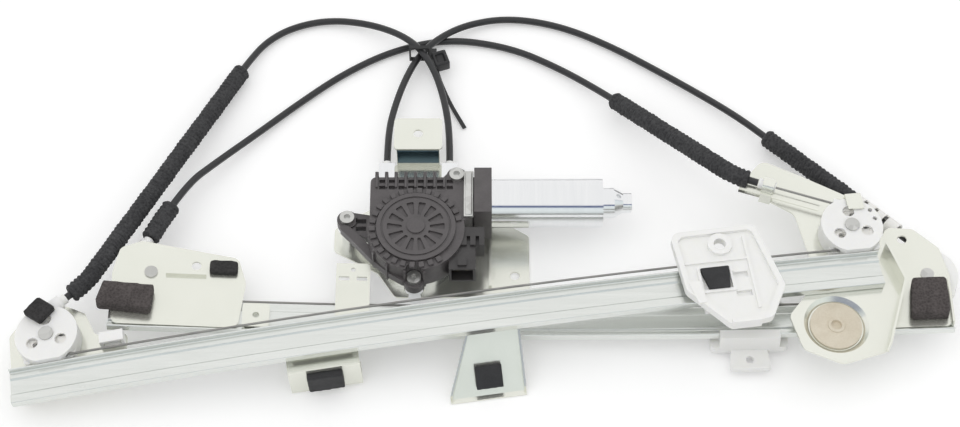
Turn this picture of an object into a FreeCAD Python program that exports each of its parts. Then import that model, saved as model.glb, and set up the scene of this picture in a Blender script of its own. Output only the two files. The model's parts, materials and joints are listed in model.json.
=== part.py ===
import FreeCAD, Part
import math
import os

# Cable-driven window regulator with two rails, lying flat with the front rail across the rear one.
# X runs along the rear rail, Y away from the viewer, Z up, with the floor at zero.

os.makedirs("parts", exist_ok=True)

V = FreeCAD.Vector
UP = V(0, 0, 1)
ORIGIN = V(-4.5, -7, 0)

# Sheet metal, fits and fasteners
SHEET = 1.5
RUNNING_GAP = 0.05
SLIDING_GAP = 0.5
M6_HOLE = 3.25
WELD_GAP = 0.1

# Channel rail section, shared by both rails
RAIL_HALF = 12.0
GUIDE_WALL = 4.5
EDGE_WALL = 5.5
BEAD_HALF = 5.0
BEAD_DEPTH = 1.2
RAIL_RADIUS = 3500.0

# Rope, pulleys and their housings
ROPE = 0.8
ROPE_OUT = RAIL_HALF + 3.5
ROPE_RISE = 3.5
WRAP = 16.0
PULLEY_RIM = 17.8
PULLEY_HALF = 2.2
GROOVE_GAP = 0.35
PIN = 3.0
HUB = 6.5
HOUSING_WALL = 2.6
CASE_TOP = 8.0

# Conduits
CONDUIT = 2.5
FERRULE = 3.5
FERRULE_LENGTH = 12.0
RUN_SHARE = 0.45
SLEEVE = 6.5
SLEEVE_STOP = 13.0

# Glass carriers
CARRIER_GAP = 0.7
CARRIER_THICK = 3.8
SHOE_HALF = 20.0

# Gear motor
GEAR_X = -43.4
GEAR_Y = 18.6
CAN_Y = 46.0
CAN_Z = 28.5
CAN = 17.0
CAN_START = 8.0
CAN_LENGTH = 76.0
CAN_WALL = 1.5
SHAFT = 3.0
WORM = 4.6
WORM_ROOT = 3.4
WORM_PITCH = 4.4
WORM_HALF = 15.4
WHEEL_TEETH = 30
MESH_GAP = 0.4
WHEEL_LOW = 23.5
WHEEL_HIGH = 33.5
DRUM = 22.0
DRUM_LOW = 3.5
DRUM_HIGH = 15.5
DRUM_CASE_TOP = 19.5
ROPE_EXIT_Z = 9.5
ROPE_EXIT_Y = 80.0
GEARCASE_TOP = 39.5
COVER_THICK = 2.5
DRIVE_SHAFT = 4.0

# Faces of the rails and plates that other pieces rest on
PLATE_TOP = -EDGE_WALL - 4 * WELD_GAP
PLATE_LOW = PLATE_TOP - SHEET
WEB_UNDER = -SHEET / 2
BEAD_UNDER = WEB_UNDER - BEAD_DEPTH - WELD_GAP
BOW_ROOM = 0.5
REAR_TOP = BEAD_UNDER - BOW_ROOM
REAR_LOW_FACE = REAR_TOP - SHEET
STRIP = RAIL_HALF - 2 * SHEET

# Drawn cup of the upper end plate
CUP_X = -24.0
CUP_Y = -36.0
CUP_RIM = 25.0
CUP_FOOT = 20.0
CUP_DEPTH = 3.0

# Mounting tabs
TAB_DROP = -10.0
CENTRE_TAB = 7.0
SIDE_TAB = -107.0
CENTRE_TAB_TOP = 18.0
CENTRE_TAB_LEFT = -33.0
CENTRE_TAB_RIGHT = 18.0
CENTRE_TAB_OUT = -39.0
SIDE_TAB_HALF = 24.0
SIDE_TAB_OUT = -17.0

# Details of the glass carriers
PLATE_FACE = GUIDE_WALL + CARRIER_GAP
NIPPLE = 1.65
GLASS_HOLE = 4.1
GLASS_Y = 25.0
SLOT_HALF = 5.0
FRONT_REST = 169.0
REAR_REST = 180.0

# Gear motor housing
EAR = 7.0
EAR_THICK = 7.0
EAR_SPOTS = [(-91.0, 34.0), (-44.5, -14.0), (-16.0, 61.0)]
EAR_SCREW = 2.6
GEARCASE = 33.0
BOX_LEFT = -75.0
BOX_FAR = 60.0
FLANGE_HALF = 18.0
FLANGE_LOW = 11.5
PLUG_X = GEAR_X + GEARCASE - 10.6
WHEEL_TIP = CAN_Y - GEAR_Y - WORM - MESH_GAP
SPOKES = 14
DAMPER_TOP = WHEEL_HIGH - 2.5
DOG_HALF = 2.4
GROOVES = 4

# Motor plate and its upturned tab
TAB_Z = 23.5
TAB_WALL_Y = 96.0
TAB_END = 121.0
TAB_HALF = 17.0
TAB_X = -43.5

# Inside the motor can
CAN_END = CAN_START + CAN_LENGTH
MAGNET_START = CAN_START + 14.0
MAGNET_END = CAN_END - 14.0
CORE_START = CAN_START + 18.0
CORE_END = CAN_END - 20.0
COIL = 6.5
MAGNET_IN = 13.0
CORE = 12.4
CORE_SLOTS = 10

# Conduits: from the drum to the rear rail, from the drum to the front rail, and between the rails
EXIT_LEFT = GEAR_X - DRUM
EXIT_RIGHT = GEAR_X + DRUM
CONDUIT_START = ROPE_EXIT_Y + FERRULE_LENGTH + GROOVE_GAP

ROUTE_TO_REAR = [
    V(EXIT_LEFT, CONDUIT_START, ROPE_EXIT_Z), V(EXIT_LEFT, 118, 9.5), V(-61, 142, 9.2), V(-54, 166, 9),
    V(-45, 186, 9.2), V(-31, 203, 8.9), V(-9, 218, 6.4), V(22, 226, 3.4), V(59, 219, 3), V(96, 200, 3.2),
    V(132, 175, 4), V(166, 149, 6), V(187, 130.5, 8.2)]
ROUTE_TO_FRONT = [
    V(EXIT_RIGHT, CONDUIT_START, ROPE_EXIT_Z), V(EXIT_RIGHT, 116, 9.7), V(-25, 143, 11.5), V(-32, 168, 14.4),
    V(-43, 189, 15.4), V(-60, 206, 11.5), V(-85, 219, 6.5), V(-113, 224, 3.4), V(-139, 217, 3.2),
    V(-157, 203, 4), V(-168, 184, 6.5)]
ROUTE_LINK = [
    V(-184, 93, 11.5), V(-158, 121, 5.5), V(-130, 149, 3), V(-98, 176, 3.1), V(-62, 197, 3), V(-22, 207, 3.1),
    V(22, 199, 3), V(56, 180.5, 3.7), V(85, 157.5, 7.5)]


class Rail:
    """A curved channel rail: its line on the floor, its arc, and its pulleys."""

    def __init__(self, side, heading, apex_z, bow, start, end):
        self.side = side
        self.heading = heading
        self.apex = 60.0
        self.apex_z = apex_z
        self.bow = bow
        self.start = start
        self.end = end
        self.base = FreeCAD.Placement(V(0, side, 0), FreeCAD.Rotation(UP, heading))

    def place(self, along):
        """Frame on the rail: X along it, Y to its far side, Z out of its web."""
        turn = (along - self.apex) / RAIL_RADIUS
        drop = self.bow * RAIL_RADIUS * (1 - math.cos(turn))
        spot = V(self.apex + RAIL_RADIUS * math.sin(turn), 0, self.apex_z - drop)
        tilt = FreeCAD.Rotation(V(0, 1, 0), math.degrees(self.bow * turn))
        return self.base.multiply(FreeCAD.Placement(spot, tilt))

    def centre(self):
        """Centre of the rail's arc."""
        return self.base.multVec(V(self.apex, 0, self.apex_z - self.bow * RAIL_RADIUS))

    def across(self):
        """Unit vector to the rail's far side, the arc's axis."""
        return self.base.Rotation.multVec(V(0, 1, 0))

    def seat(self, along, shape):
        """Put a piece drawn flat on the rail; the rear rail's pieces hang under it."""
        if self.bow < 0:
            shape = shape.mirror(V(0, 0, 0), UP)
        shape.Placement = self.place(along).multiply(shape.Placement)
        return shape

    def point(self, along, x, y, z):
        """A point given in the flat frame of a place along the rail."""
        return self.place(along).multVec(V(x, y, self.bow * z))


FRONT = Rail(-50.1, 8.25, 42.0, 1, -312.0, 272.0)
REAR = Rail(-42.0, 0.0, 14.6, -1, -248.0, 316.0)


class End:
    """One pulley end of a rail: where it is, which side the rail lies on, and its rope's way out."""

    def __init__(self, name, rail, along, inward, angle, stop):
        self.name = name
        self.rail = rail
        self.along = along
        self.inward = inward
        self.angle = math.radians(angle)
        self.stop = stop
        self.hub = V(0, ROPE_OUT + WRAP, ROPE_RISE)
        self.way = V(math.cos(self.angle), math.sin(self.angle), 0)
        self.off = V(-inward * self.way.y, inward * self.way.x, 0) * WRAP

    def on_line(self, length):
        """Flat point on the rope's straight way out, from where it leaves the pulley."""
        return self.hub + self.off + self.way * length

    def outside(self, length):
        """The same point in the part's frame."""
        flat = self.on_line(length)
        return self.rail.point(self.along, flat.x, flat.y, flat.z)


FRONT_LOW = End("front_lower", FRONT, -285.0, 1, 32.0, 14.0)
FRONT_HIGH = End("front_upper", FRONT, 258.0, -1, 155.0, 56.0)
REAR_LOW = End("rear_lower", REAR, -222.0, 1, 66.0, 14.0)
REAR_HIGH = End("rear_upper", REAR, 302.0, -1, 134.0, 14.0)
ENDS = [FRONT_LOW, FRONT_HIGH, REAR_LOW, REAR_HIGH]


def rounded(points, radius, closed):
    """Wire of straight runs and tangent arcs; no radius means the largest that both runs allow."""
    count = len(points)
    corners = []
    for index in range(count):
        corner = points[index]
        if not closed and index in (0, count - 1):
            corners.append((corner, None, corner, 0.0))
            continue
        back = points[index - 1] - corner
        ahead = points[(index + 1) % count] - corner
        half_turn = (math.pi - back.getAngle(ahead)) / 2
        reach = RUN_SHARE * min(back.Length, ahead.Length)
        if radius is not None:
            reach = min(reach, radius * math.tan(half_turn))
        arc = reach / math.tan(half_turn)
        back.normalize()
        ahead.normalize()
        inner = back + ahead
        inner.normalize()
        middle = corner + inner * (arc / math.cos(half_turn) - arc)
        corners.append((corner + back * reach, middle, corner + ahead * reach, arc))
    edges = []
    for index, (first, middle, last, arc) in enumerate(corners):
        if middle is not None and radius != 0:
            edges.append(Part.Arc(first, middle, last).toShape())
        if closed or index < count - 1:
            following = corners[(index + 1) % count][0]
            if last.distanceToPoint(following) > 1e-6:
                edges.append(Part.LineSegment(last, following).toShape())
    return Part.Wire(edges), [corner[3] for corner in corners if corner[1] is not None]


def slab(points, low, high, radius=0.0):
    """Flat piece with the given outline and rounded corners."""
    corners = [V(x, y, low) for x, y in points]
    if radius:
        wire = rounded(corners, radius, True)[0]
    else:
        wire = Part.makePolygon(corners + corners[:1])
    return Part.Face(wire).extrude(V(0, 0, high - low))


def bent(points, start, end):
    """Section drawn in the YZ plane and carried along X."""
    corners = [V(start, y, z) for y, z in points]
    return Part.Face(Part.makePolygon(corners + corners[:1])).extrude(V(end - start, 0, 0))


def block(x_low, x_high, y_low, y_high, z_low, z_high):
    return Part.makeBox(x_high - x_low, y_high - y_low, z_high - z_low, V(x_low, y_low, z_low))


def post(x, y, z_low, z_high, radius):
    return Part.makeCylinder(radius, z_high - z_low, V(x, y, z_low), UP)


def rod(x_low, x_high, y, z, radius):
    return Part.makeCylinder(radius, x_high - x_low, V(x_low, y, z), V(1, 0, 0))


def between(first, last, radius):
    way = last - first
    return Part.makeCylinder(radius, way.Length, first, way)


def turned(profile):
    """Solid of revolution about Z from radius and height pairs."""
    corners = [V(radius, 0, height) for radius, height in profile]
    face = Part.Face(Part.makePolygon(corners + corners[:1]))
    return face.revolve(V(0, 0, 0), UP, 360)


def swept(path, section):
    return path.makePipeShell([section], True, False)


def tube(path, radius):
    """Round tube along a wire."""
    heading = path.OrderedEdges[0].tangentAt(path.OrderedEdges[0].FirstParameter)
    spot = path.OrderedVertexes[0].Point
    circle = Part.Circle(spot, heading, radius)
    return swept(path, Part.Wire([circle.toShape()]))


def save(name, *pieces):
    solids = []
    for piece in pieces:
        solids.extend(piece.Solids)
    for solid in solids:
        if not solid.isValid():
            print("NOT VALID", name)
    shape = solids[0] if len(solids) == 1 else Part.makeCompound(solids)
    shape = shape.copy()
    shape.translate(ORIGIN)
    shape.exportStep("parts/" + name + ".step")
    box = shape.BoundBox
    facets = len(shape.tessellate(0.2)[1])
    print("%-26s %2d solids %8.0f mm3 %5d facets  x %.1f %.1f  y %.1f %.1f  z %.1f %.1f" % (
        name, len(solids), shape.Volume, facets,
        box.XMin, box.XMax, box.YMin, box.YMax, box.ZMin, box.ZMax))
    return facets


# Channel rails

def rail_section(bow):
    """Web with a bead, a guide wall on the far side and an edge wall the other way on the near side."""
    half = SHEET / 2
    inner = RAIL_HALF - SHEET
    slope = BEAD_DEPTH
    outline = [
        (RAIL_HALF, GUIDE_WALL), (inner, GUIDE_WALL), (inner, half),
        (BEAD_HALF + slope, half), (BEAD_HALF, half - BEAD_DEPTH),
        (-BEAD_HALF, half - BEAD_DEPTH), (-BEAD_HALF - slope, half),
        (-RAIL_HALF, half), (-RAIL_HALF, -EDGE_WALL), (-inner, -EDGE_WALL), (-inner, -half),
        (-BEAD_HALF - slope, -half), (-BEAD_HALF, -half - BEAD_DEPTH),
        (BEAD_HALF, -half - BEAD_DEPTH), (BEAD_HALF + slope, -half), (RAIL_HALF, -half)]
    return [V(0, across, bow * height) for across, height in outline]


def channel_rail(rail):
    face = Part.Face(rounded(rail_section(rail.bow), 0.7, True)[0])
    face.Placement = rail.place(rail.start)
    angle = math.degrees((rail.end - rail.start) / RAIL_RADIUS)
    return face.revolve(rail.centre(), rail.across(), rail.bow * angle)


# Pulleys, housings and pins

def pulley():
    """Grooved rope pulley with a hub, a thin web and lightening holes."""
    high = PULLEY_HALF
    groove = WRAP - ROPE - GROOVE_GAP
    web = 1.2
    lip = 0.4
    body = turned([
        (PIN + RUNNING_GAP, -high), (HUB, -high), (HUB, -web), (groove - 2, -web), (groove - 2, -high),
        (PULLEY_RIM, -high), (PULLEY_RIM, -high + lip), (groove, -1.1), (groove, 1.1),
        (PULLEY_RIM, high - lip), (PULLEY_RIM, high), (groove - 2, high), (groove - 2, web),
        (HUB, web), (HUB, high), (PIN + RUNNING_GAP, high)])
    holes = 5
    for index in range(holes):
        angle = 2 * math.pi * index / holes
        ring = (HUB + groove - 2) / 2
        body = body.cut(post(ring * math.cos(angle), ring * math.sin(angle), -high, high, 2.2))
    return body


def pulley_case(end, floor):
    """Moulded housing round the pulley, with the rope's two ways out and the conduit's seat."""
    hub = end.hub
    room = PULLEY_RIM + 0.6
    shell = room + HOUSING_WALL
    half = PULLEY_HALF + 0.4
    case = post(hub.x, hub.y, floor, CASE_TOP, shell)
    near = RAIL_HALF + 2.5
    corners = [(-shell + 4, near), (shell - 4, near), (shell - 2, hub.y), (-shell + 2, hub.y)]
    foot = slab(corners, floor, ROPE_RISE - half, 3)
    case = case.fuse(foot)
    seat_end = end.on_line(end.stop + FERRULE_LENGTH - 4)
    seated = end.stop < 20
    if seated:
        case = case.fuse(between(end.on_line(2), seat_end, FERRULE + 1.6))
    else:
        case = case.fuse(between(end.on_line(2), end.on_line(16), FERRULE))
    case = case.cut(post(hub.x, hub.y, ROPE_RISE - half, ROPE_RISE + half, room))
    way_in = between(V(0, ROPE_OUT, ROPE_RISE), V(end.inward * 30, ROPE_OUT, ROPE_RISE), ROPE + 0.8)
    case = case.cut(way_in)
    case = case.cut(between(end.on_line(-2), end.on_line(60), ROPE + 0.8))
    if seated:
        case = case.cut(between(end.on_line(end.stop), end.on_line(end.stop + 30), FERRULE))
    case = case.cut(post(hub.x, hub.y, floor - 1, CASE_TOP + 1, PIN))
    case = case.cut(block(-40, 40, -20, RAIL_HALF + WELD_GAP, floor - 1, CASE_TOP + 1))
    for index in range(3):
        angle = math.pi * (2 * index / 3 + 0.5)
        spot = hub + V(math.cos(angle), math.sin(angle), 0) * 11
        case = case.cut(post(spot.x, spot.y, ROPE_RISE, CASE_TOP + 1, 4))
    if not seated:
        for x, y in ((15.0, 42.0), (16.8, 35.0)):
            case = case.cut(post(x, y, ROPE_RISE, CASE_TOP + 1, 1.6))
    return case.removeSplitter()


def pulley_pin(end, floor, sheet_low):
    """Riveted pin through plate, housing and pulley."""
    hub = end.hub
    shank = post(hub.x, hub.y, sheet_low, CASE_TOP, PIN)
    head = post(hub.x, hub.y, CASE_TOP, CASE_TOP + 1.2, PIN + 2)
    tail = post(hub.x, hub.y, sheet_low - 1.2, sheet_low, PIN + 1.4)
    return shank.fuse([head, tail]).removeSplitter()


def ferrule(first, last):
    """Metal end cap of a conduit, with the rope's hole."""
    way = last - first
    way.normalize()
    cap = between(first, last, FERRULE)
    return cap.cut(between(first - way, last + way, ROPE + 0.5))


# Ropes

def rope(low, high):
    """Steel rope round both pulleys of one rail and out to both conduits."""
    rail = low.rail
    first = low.outside(low.stop + FERRULE_LENGTH)
    edges = [Part.LineSegment(first, low.outside(0)).toShape()]
    edges.append(wrap_arc(low))
    middle = (low.along + high.along) / 2
    rail_points = [rail.point(s, 0, ROPE_OUT, ROPE_RISE) for s in (low.along, middle, high.along)]
    edges.append(Part.Arc(*rail_points).toShape())
    edges.append(wrap_arc(high))
    edges.append(Part.LineSegment(high.outside(0), high.outside(high.stop + FERRULE_LENGTH)).toShape())
    ordered = Part.Wire(Part.__sortEdges__(edges))
    circle = Part.Circle(first, low.outside(0) - first, ROPE)
    return swept(ordered, Part.Wire([circle.toShape()]))


def wrap_arc(end):
    """Arc of the rope round its pulley."""
    start = math.atan2(end.off.y, end.off.x)
    bottom = -math.pi / 2
    if end.inward > 0:
        start = start % (2 * math.pi)
        middle = (start + 2 * math.pi + bottom) / 2
    else:
        middle = (start + bottom) / 2
    spots = []
    for angle in (start, middle, bottom):
        flat = end.hub + V(math.cos(angle), math.sin(angle), 0) * WRAP
        spots.append(end.rail.point(end.along, flat.x, flat.y, flat.z))
    return Part.Arc(*spots).toShape()


# End plates


def drawn_cup(x, y, top, rim, foot, depth):
    """Hollow and solid shapes of a deep-drawn cup with a fixing hole."""
    outer = Part.makeCone(foot, rim, depth + SHEET, V(x, y, top - SHEET - depth), UP)
    inner = Part.makeCone(foot - SHEET, rim - SHEET, depth + SHEET, V(x, y, top - depth), UP)
    hole = post(x, y, top - depth - 2 * SHEET, top, M6_HOLE)
    return outer, outer.cut(inner).cut(hole)


def front_lower_plate():
    outline = [(-27, -9.6), (46, -9.6), (52, 30), (30, 32), (24, 50), (12, 58), (-12, 60), (-28, 42)]
    plate = slab(outline, PLATE_LOW, PLATE_TOP, 5)
    web = block(-26, 44, -STRIP - 0.6, -STRIP + 0.9, PLATE_TOP, WEB_UNDER - 4 * WELD_GAP)
    foot_x = -18.0
    foot_y = 2.0
    outer, cup = drawn_cup(foot_x, foot_y, PLATE_TOP, 9, 7.5, 9.0)
    plate = plate.fuse(web).cut(outer).fuse(cup)
    return plate.cut(post(0, FRONT_LOW.hub.y, PLATE_LOW - 1, PLATE_TOP + 1, PIN)).removeSplitter()


def front_upper_plate():
    outline = [(-66, 80), (-46, 99), (-20, 82), (10, 61), (24, 38), (22, 18), (28, -12), (6, -60),
               (-26, -66), (-50, -52), (-54, -26), (-40, -12), (-30, 14), (-33, 53)]
    plate = slab(outline, PLATE_LOW, PLATE_TOP, 7)
    edge = [(22.0, 17), (28, -12), (6, -60), (4.6, -59.4), (26.4, -12), (20.5, 16.7)]
    upright = slab(edge, PLATE_LOW, 5.0)
    outer, cup = drawn_cup(CUP_X, CUP_Y, PLATE_TOP, CUP_RIM, CUP_FOOT, CUP_DEPTH)
    plate = plate.cut(outer).fuse([cup, upright])
    first = FRONT_HIGH.on_line(24)
    last = FRONT_HIGH.on_line(80)
    first.z = PLATE_TOP + 4.2
    last.z = PLATE_TOP + 4.2
    plate = plate.cut(between(first, last, 5.2))
    trough = between(first, last, 6.6).cut(between(first, last, 5.2))
    trough = trough.common(block(-90, 30, 0, 120, PLATE_TOP - 6, PLATE_TOP + 0.01))
    plate = plate.fuse(trough)
    lug_first = FRONT_HIGH.on_line(FRONT_HIGH.stop + 1)
    lug_last = FRONT_HIGH.on_line(FRONT_HIGH.stop + 9)
    lug = between(lug_first, lug_last, FERRULE + 2)
    side = V(-FRONT_HIGH.way.y, FRONT_HIGH.way.x, 0)
    web = slab([(p.x, p.y) for p in (lug_first + side * 7.5, lug_last + side * 7.5,
                                     lug_last - side * 7.5, lug_first - side * 7.5)],
               PLATE_LOW, ROPE_RISE - 1)
    lug = lug.fuse(web).cut(between(FRONT_HIGH.on_line(20), FRONT_HIGH.on_line(100), FERRULE))
    plate = plate.fuse(lug)
    weld = block(-38, 14, -STRIP - 0.6, -STRIP + 0.9, PLATE_TOP, WEB_UNDER - 3 * WELD_GAP)
    far_weld = block(-30, 14, STRIP - 2, STRIP - 0.5, PLATE_TOP, WEB_UNDER - 3 * WELD_GAP)
    over_case = CASE_TOP + SLIDING_GAP
    hook = block(0, 11, 53.7, 53.7 + SHEET, PLATE_LOW, over_case + SHEET)
    hook = hook.fuse(block(0, 11, 43, 53.7 + SHEET, over_case, over_case + SHEET))
    plate = plate.fuse([weld, far_weld, hook])
    plate = plate.cut(post(0, FRONT_HIGH.hub.y, PLATE_LOW - 1, PLATE_TOP + 1, PIN))
    return plate.removeSplitter()


def rear_upper_plate():
    outline = [(-44, -STRIP), (13, -STRIP), (15, 30), (10, 52), (-6, 68), (-24, 70), (-36, 42)]
    plate = slab(outline, REAR_LOW_FACE, REAR_TOP, 6)
    edge = block(12.5, 14, -8, 26, REAR_LOW_FACE - 4.5, REAR_TOP)
    plate = plate.fuse(edge)
    plate = plate.cut(post(-14, 60, REAR_LOW_FACE - 4, WEB_UNDER, M6_HOLE))
    return plate.cut(post(0, REAR_HIGH.hub.y, REAR_LOW_FACE - 4, WEB_UNDER, PIN)).removeSplitter()


def rear_lower_plate():
    outline = [(-24, -STRIP), (60, -STRIP), (64, 26), (58, 45), (-8, 56), (-22, 50), (-26, 30)]
    plate = slab(outline, REAR_LOW_FACE, REAR_TOP, 6)
    fold = block(10, 37, 29.5, 31, REAR_LOW_FACE - 3, REAR_TOP - SHEET / 2)
    plate = plate.fuse(fold)
    plate = plate.cut(post(30, 38, REAR_LOW_FACE - 6, WEB_UNDER, M6_HOLE))
    return plate.cut(post(0, REAR_LOW.hub.y, REAR_LOW_FACE - 4, WEB_UNDER, PIN)).removeSplitter()


def rear_bracket():
    """Small fixing bracket on the rear rail, with a joggle and two slots."""
    top = BEAD_UNDER
    low = top - SHEET
    rise = 3.0
    profile = [(-8, top), (20, top), (26, top - rise), (42, top - rise), (42, low - rise),
               (25.4, low - rise), (19.4, low), (-8, low)]
    bracket = bent(profile, -11.5, 11.5)
    for side in (-1, 1):
        bracket = bracket.cut(block(side * 6 - 3.5, side * 6 + 3.5, 28.5, 31.5, low - rise - 1, top))
    return bracket.cut(post(0, 37, low - rise - 1, top, M6_HOLE / 2))


# Mounting tabs under the front rail


def tab_web(half):
    """Welded strip of a tab under the rail's bead, with a step up to the web."""
    strip = block(-half, half, -STRIP, STRIP - 1, BEAD_UNDER - SHEET, BEAD_UNDER)
    return strip.fuse(block(-half, half, -STRIP, -STRIP + 2.5, BEAD_UNDER - SHEET, WEB_UNDER - WELD_GAP))


def centre_tab_floor():
    return -FRONT.place(CENTRE_TAB).Base.z


def centre_tab():
    """Sloping stamped tab that carries the middle of the front rail on the floor."""
    floor = centre_tab_floor()
    top = CENTRE_TAB_TOP
    web = tab_web(14)
    leg = block(-top, top, -STRIP, -STRIP + SHEET, TAB_DROP, BEAD_UNDER)
    out = CENTRE_TAB_OUT
    sole = floor + SHEET
    upper = [V(-top, -STRIP, TAB_DROP), V(top, -STRIP, TAB_DROP)]
    lower = [V(CENTRE_TAB_RIGHT, out, sole), V(CENTRE_TAB_LEFT, out, sole)]
    ramp = Part.Face(Part.makePolygon(upper + lower + upper[:1])).extrude(V(0, SHEET, 0))
    foot = block(CENTRE_TAB_LEFT, CENTRE_TAB_RIGHT, out - 3, out + SHEET, floor - 0.5, sole)
    flanges = []
    for head, heel, inward in ((upper[0], lower[1], 1), (upper[1], lower[0], -1)):
        edge = [head, heel, heel + UP * 5, head + UP]
        flanges.append(Part.Face(Part.makePolygon(edge + edge[:1])).extrude(V(inward * SHEET, 0, 0)))
    tab = FRONT.seat(CENTRE_TAB, web.fuse([leg, ramp, foot] + flanges).removeSplitter())
    return tab.cut(Part.makeBox(200, 200, 5, V(-100, -200, -5)))


def side_tab():
    """Upright tab under the front rail's near edge, with a foot turned under."""
    floor = -FRONT.place(SIDE_TAB).Base.z
    out = SIDE_TAB_OUT
    half = SIDE_TAB_HALF
    low = floor + 1.2
    web = tab_web(half - 4)
    leg = block(4 - half, half - 4, -STRIP, -STRIP + SHEET, TAB_DROP, BEAD_UNDER)
    shelf = block(-half, half, out - SHEET, -STRIP + SHEET, TAB_DROP - SHEET, TAB_DROP)
    wall = block(-half, half, out - SHEET, out, low, TAB_DROP)
    foot = block(-half, half, out - SHEET, out + 14, low, low + SHEET)
    tab = web.fuse([leg, shelf, wall, foot])
    return tab.cut(post(14, out + 8, floor, floor + 5, M6_HOLE)).removeSplitter()


def tab_buffers():
    """Rubber pads on the two tabs."""
    floor = centre_tab_floor()
    run = V(0, CENTRE_TAB_OUT + STRIP, floor + SHEET - TAB_DROP)
    run.normalize()
    out = V(0, run.z, -run.y)
    pad = Part.makeBox(18, 16, 5, V(-9, -8, 0))
    turn = FreeCAD.Rotation(V(1, 0, 0), V(0, -run.y, -run.z), V(0, -out.y, -out.z) * -1, "XYZ")
    spot = V(-6, -STRIP, TAB_DROP) + run * 29
    pad.Placement = FreeCAD.Placement(spot, turn)
    first = FRONT.seat(CENTRE_TAB, pad)
    upright = Part.makeBox(24, 5, 18, V(-12, SIDE_TAB_OUT - SHEET - 5, -31))
    second = FRONT.seat(SIDE_TAB, upright)
    return first, second


# Glass carriers


def shoes():
    """Guides that hook round the rail's walls, with the rope's way through."""
    out = RAIL_HALF + SLIDING_GAP
    inner = RAIL_HALF - SHEET - SLIDING_GAP
    top = PLATE_FACE + 0.2
    over_web = SHEET / 2 + SLIDING_GAP
    near = block(-SHOE_HALF, SHOE_HALF, -out - 4, -out, -EDGE_WALL - 2.5, top)
    under = -EDGE_WALL - 2.5
    lip = block(-SHOE_HALF, SHOE_HALF, -out - 4, -RAIL_HALF + 1.8, under, -EDGE_WALL - SLIDING_GAP)
    far = block(-SHOE_HALF, SHOE_HALF, out, out + 6.5, 0.4, top)
    guide = block(-SHOE_HALF, SHOE_HALF, inner - 3, inner, over_web, top)
    rest = block(-SHOE_HALF, SHOE_HALF, -RAIL_HALF, -RAIL_HALF + 4, over_web, top)
    shape = near.fuse([lip, far, guide, rest])
    return shape


def rope_room(shape):
    """Cut the rope's way and the nipple's pocket."""
    bore = rod(-60, 60, ROPE_OUT, ROPE_RISE, ROPE + SLIDING_GAP)
    pocket = block(-6, 6, ROPE_OUT - NIPPLE, ROPE_OUT + NIPPLE, ROPE_RISE - NIPPLE, ROPE_RISE + NIPPLE)
    return shape.cut(bore).cut(pocket)


def nipple():
    bore = rod(-7, 7, ROPE_OUT, ROPE_RISE, ROPE + GROOVE_GAP)
    return rod(-5.8, 5.8, ROPE_OUT, ROPE_RISE, NIPPLE).cut(bore)


def front_slider():
    outline = [(-36, 37), (22, 38), (33, -12), (20, -35), (-8, -38), (-33, -8)]
    top = PLATE_FACE + CARRIER_THICK
    rim = 2.6
    body = slab(outline, PLATE_FACE, top + rim, 6)
    inner = [(x * 0.88 - 0.4, y * 0.88 + 0.6) for x, y in outline]
    body = body.cut(slab(inner, top, top + rim + 1, 5))
    boss = post(-4, GLASS_Y, PLATE_FACE, top + rim, GLASS_HOLE + 4)
    frame = block(-23, 1, -11, 9.5, top, top + 1.6)
    catch = slab([(-31, -2), (-23, -2), (-21, -19), (-27, -19)], top, top + 3.2, 1.5)
    ledge = block(-8, 12, -37.5, -34.5, PLATE_FACE, top + 5)
    ribs = [block(12, 14, -26, 30, top, top + 1.6), block(-30, 12, 12, 13.6, top, top + 1.6)]
    body = body.fuse([boss, frame, catch, ledge, shoes()] + ribs)
    body = body.cut(post(-4, GLASS_Y, PLATE_FACE - 8, top + 9, GLASS_HOLE))
    body = body.cut(block(-21, -1.5, -9, 7.5, top - 0.8, top + 5))
    floor = PLATE_FACE + 1.4
    for y in (1.2, -13.4):
        slot = block(5 - SLOT_HALF, 5.5 + SLOT_HALF, y - 2.2, y + 2.2, floor, top + 6)
        body = body.cut(slot)
    return rope_room(body).removeSplitter()


def front_insert():
    top = PLATE_FACE + CARRIER_THICK
    return slab([(-21, 7.5), (-1.5, 7.5), (-3.5, -9), (-17, -9)], top - 0.8, top + 2.4, 1)


def rear_slider():
    top = PLATE_FACE + 6.2
    near = -RAIL_HALF - SLIDING_GAP - 4
    far = RAIL_HALF + SLIDING_GAP + 6.5
    body = slab([(-26, far), (26, far), (26, near), (-26, near)], PLATE_FACE, top, 4)
    body = body.cut(block(-20, 20, -8, 8, PLATE_FACE + 2, top + 1))
    foot = slab([(-12, near + 1), (12, near + 1), (14, near - 15), (-14, near - 15)], top - 3.3, top, 2)
    rib = block(-12, 12, near - 15, near - 13, top - 4.5, top)
    body = body.fuse([shoes(), foot, rib])
    body = body.cut(post(0, near - 7.5, top - 9, top + 1, 2.6))
    return rope_room(body).removeSplitter()


# Gear motor

def around_gear(shape):
    shape.translate(V(GEAR_X, GEAR_Y, 0))
    return shape


def ear_top(index):
    """The two outer ears are low; the third stands as high as the worm box."""
    return GEARCASE_TOP if index == 2 else DRUM_CASE_TOP + EAR_THICK


def gear_ears():
    """Three fixing ears, each from the gear axis out to its screw."""
    low = DRUM_CASE_TOP
    ears = []
    for index, (x, y) in enumerate(EAR_SPOTS):
        high = ear_top(index)
        way = V(x - GEAR_X, y - GEAR_Y, 0)
        way.normalize()
        side = V(-way.y, way.x, 0)
        root = V(GEAR_X, GEAR_Y, 0) + way * 20
        tip = V(x, y, 0)
        corners = [root + side * 11, tip + side * EAR, tip - side * EAR, root - side * 11]
        ears.append(slab([(p.x, p.y) for p in corners], low, high - 1.5))
        ears.append(post(x, y, low, high, EAR))
    return ears


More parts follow.
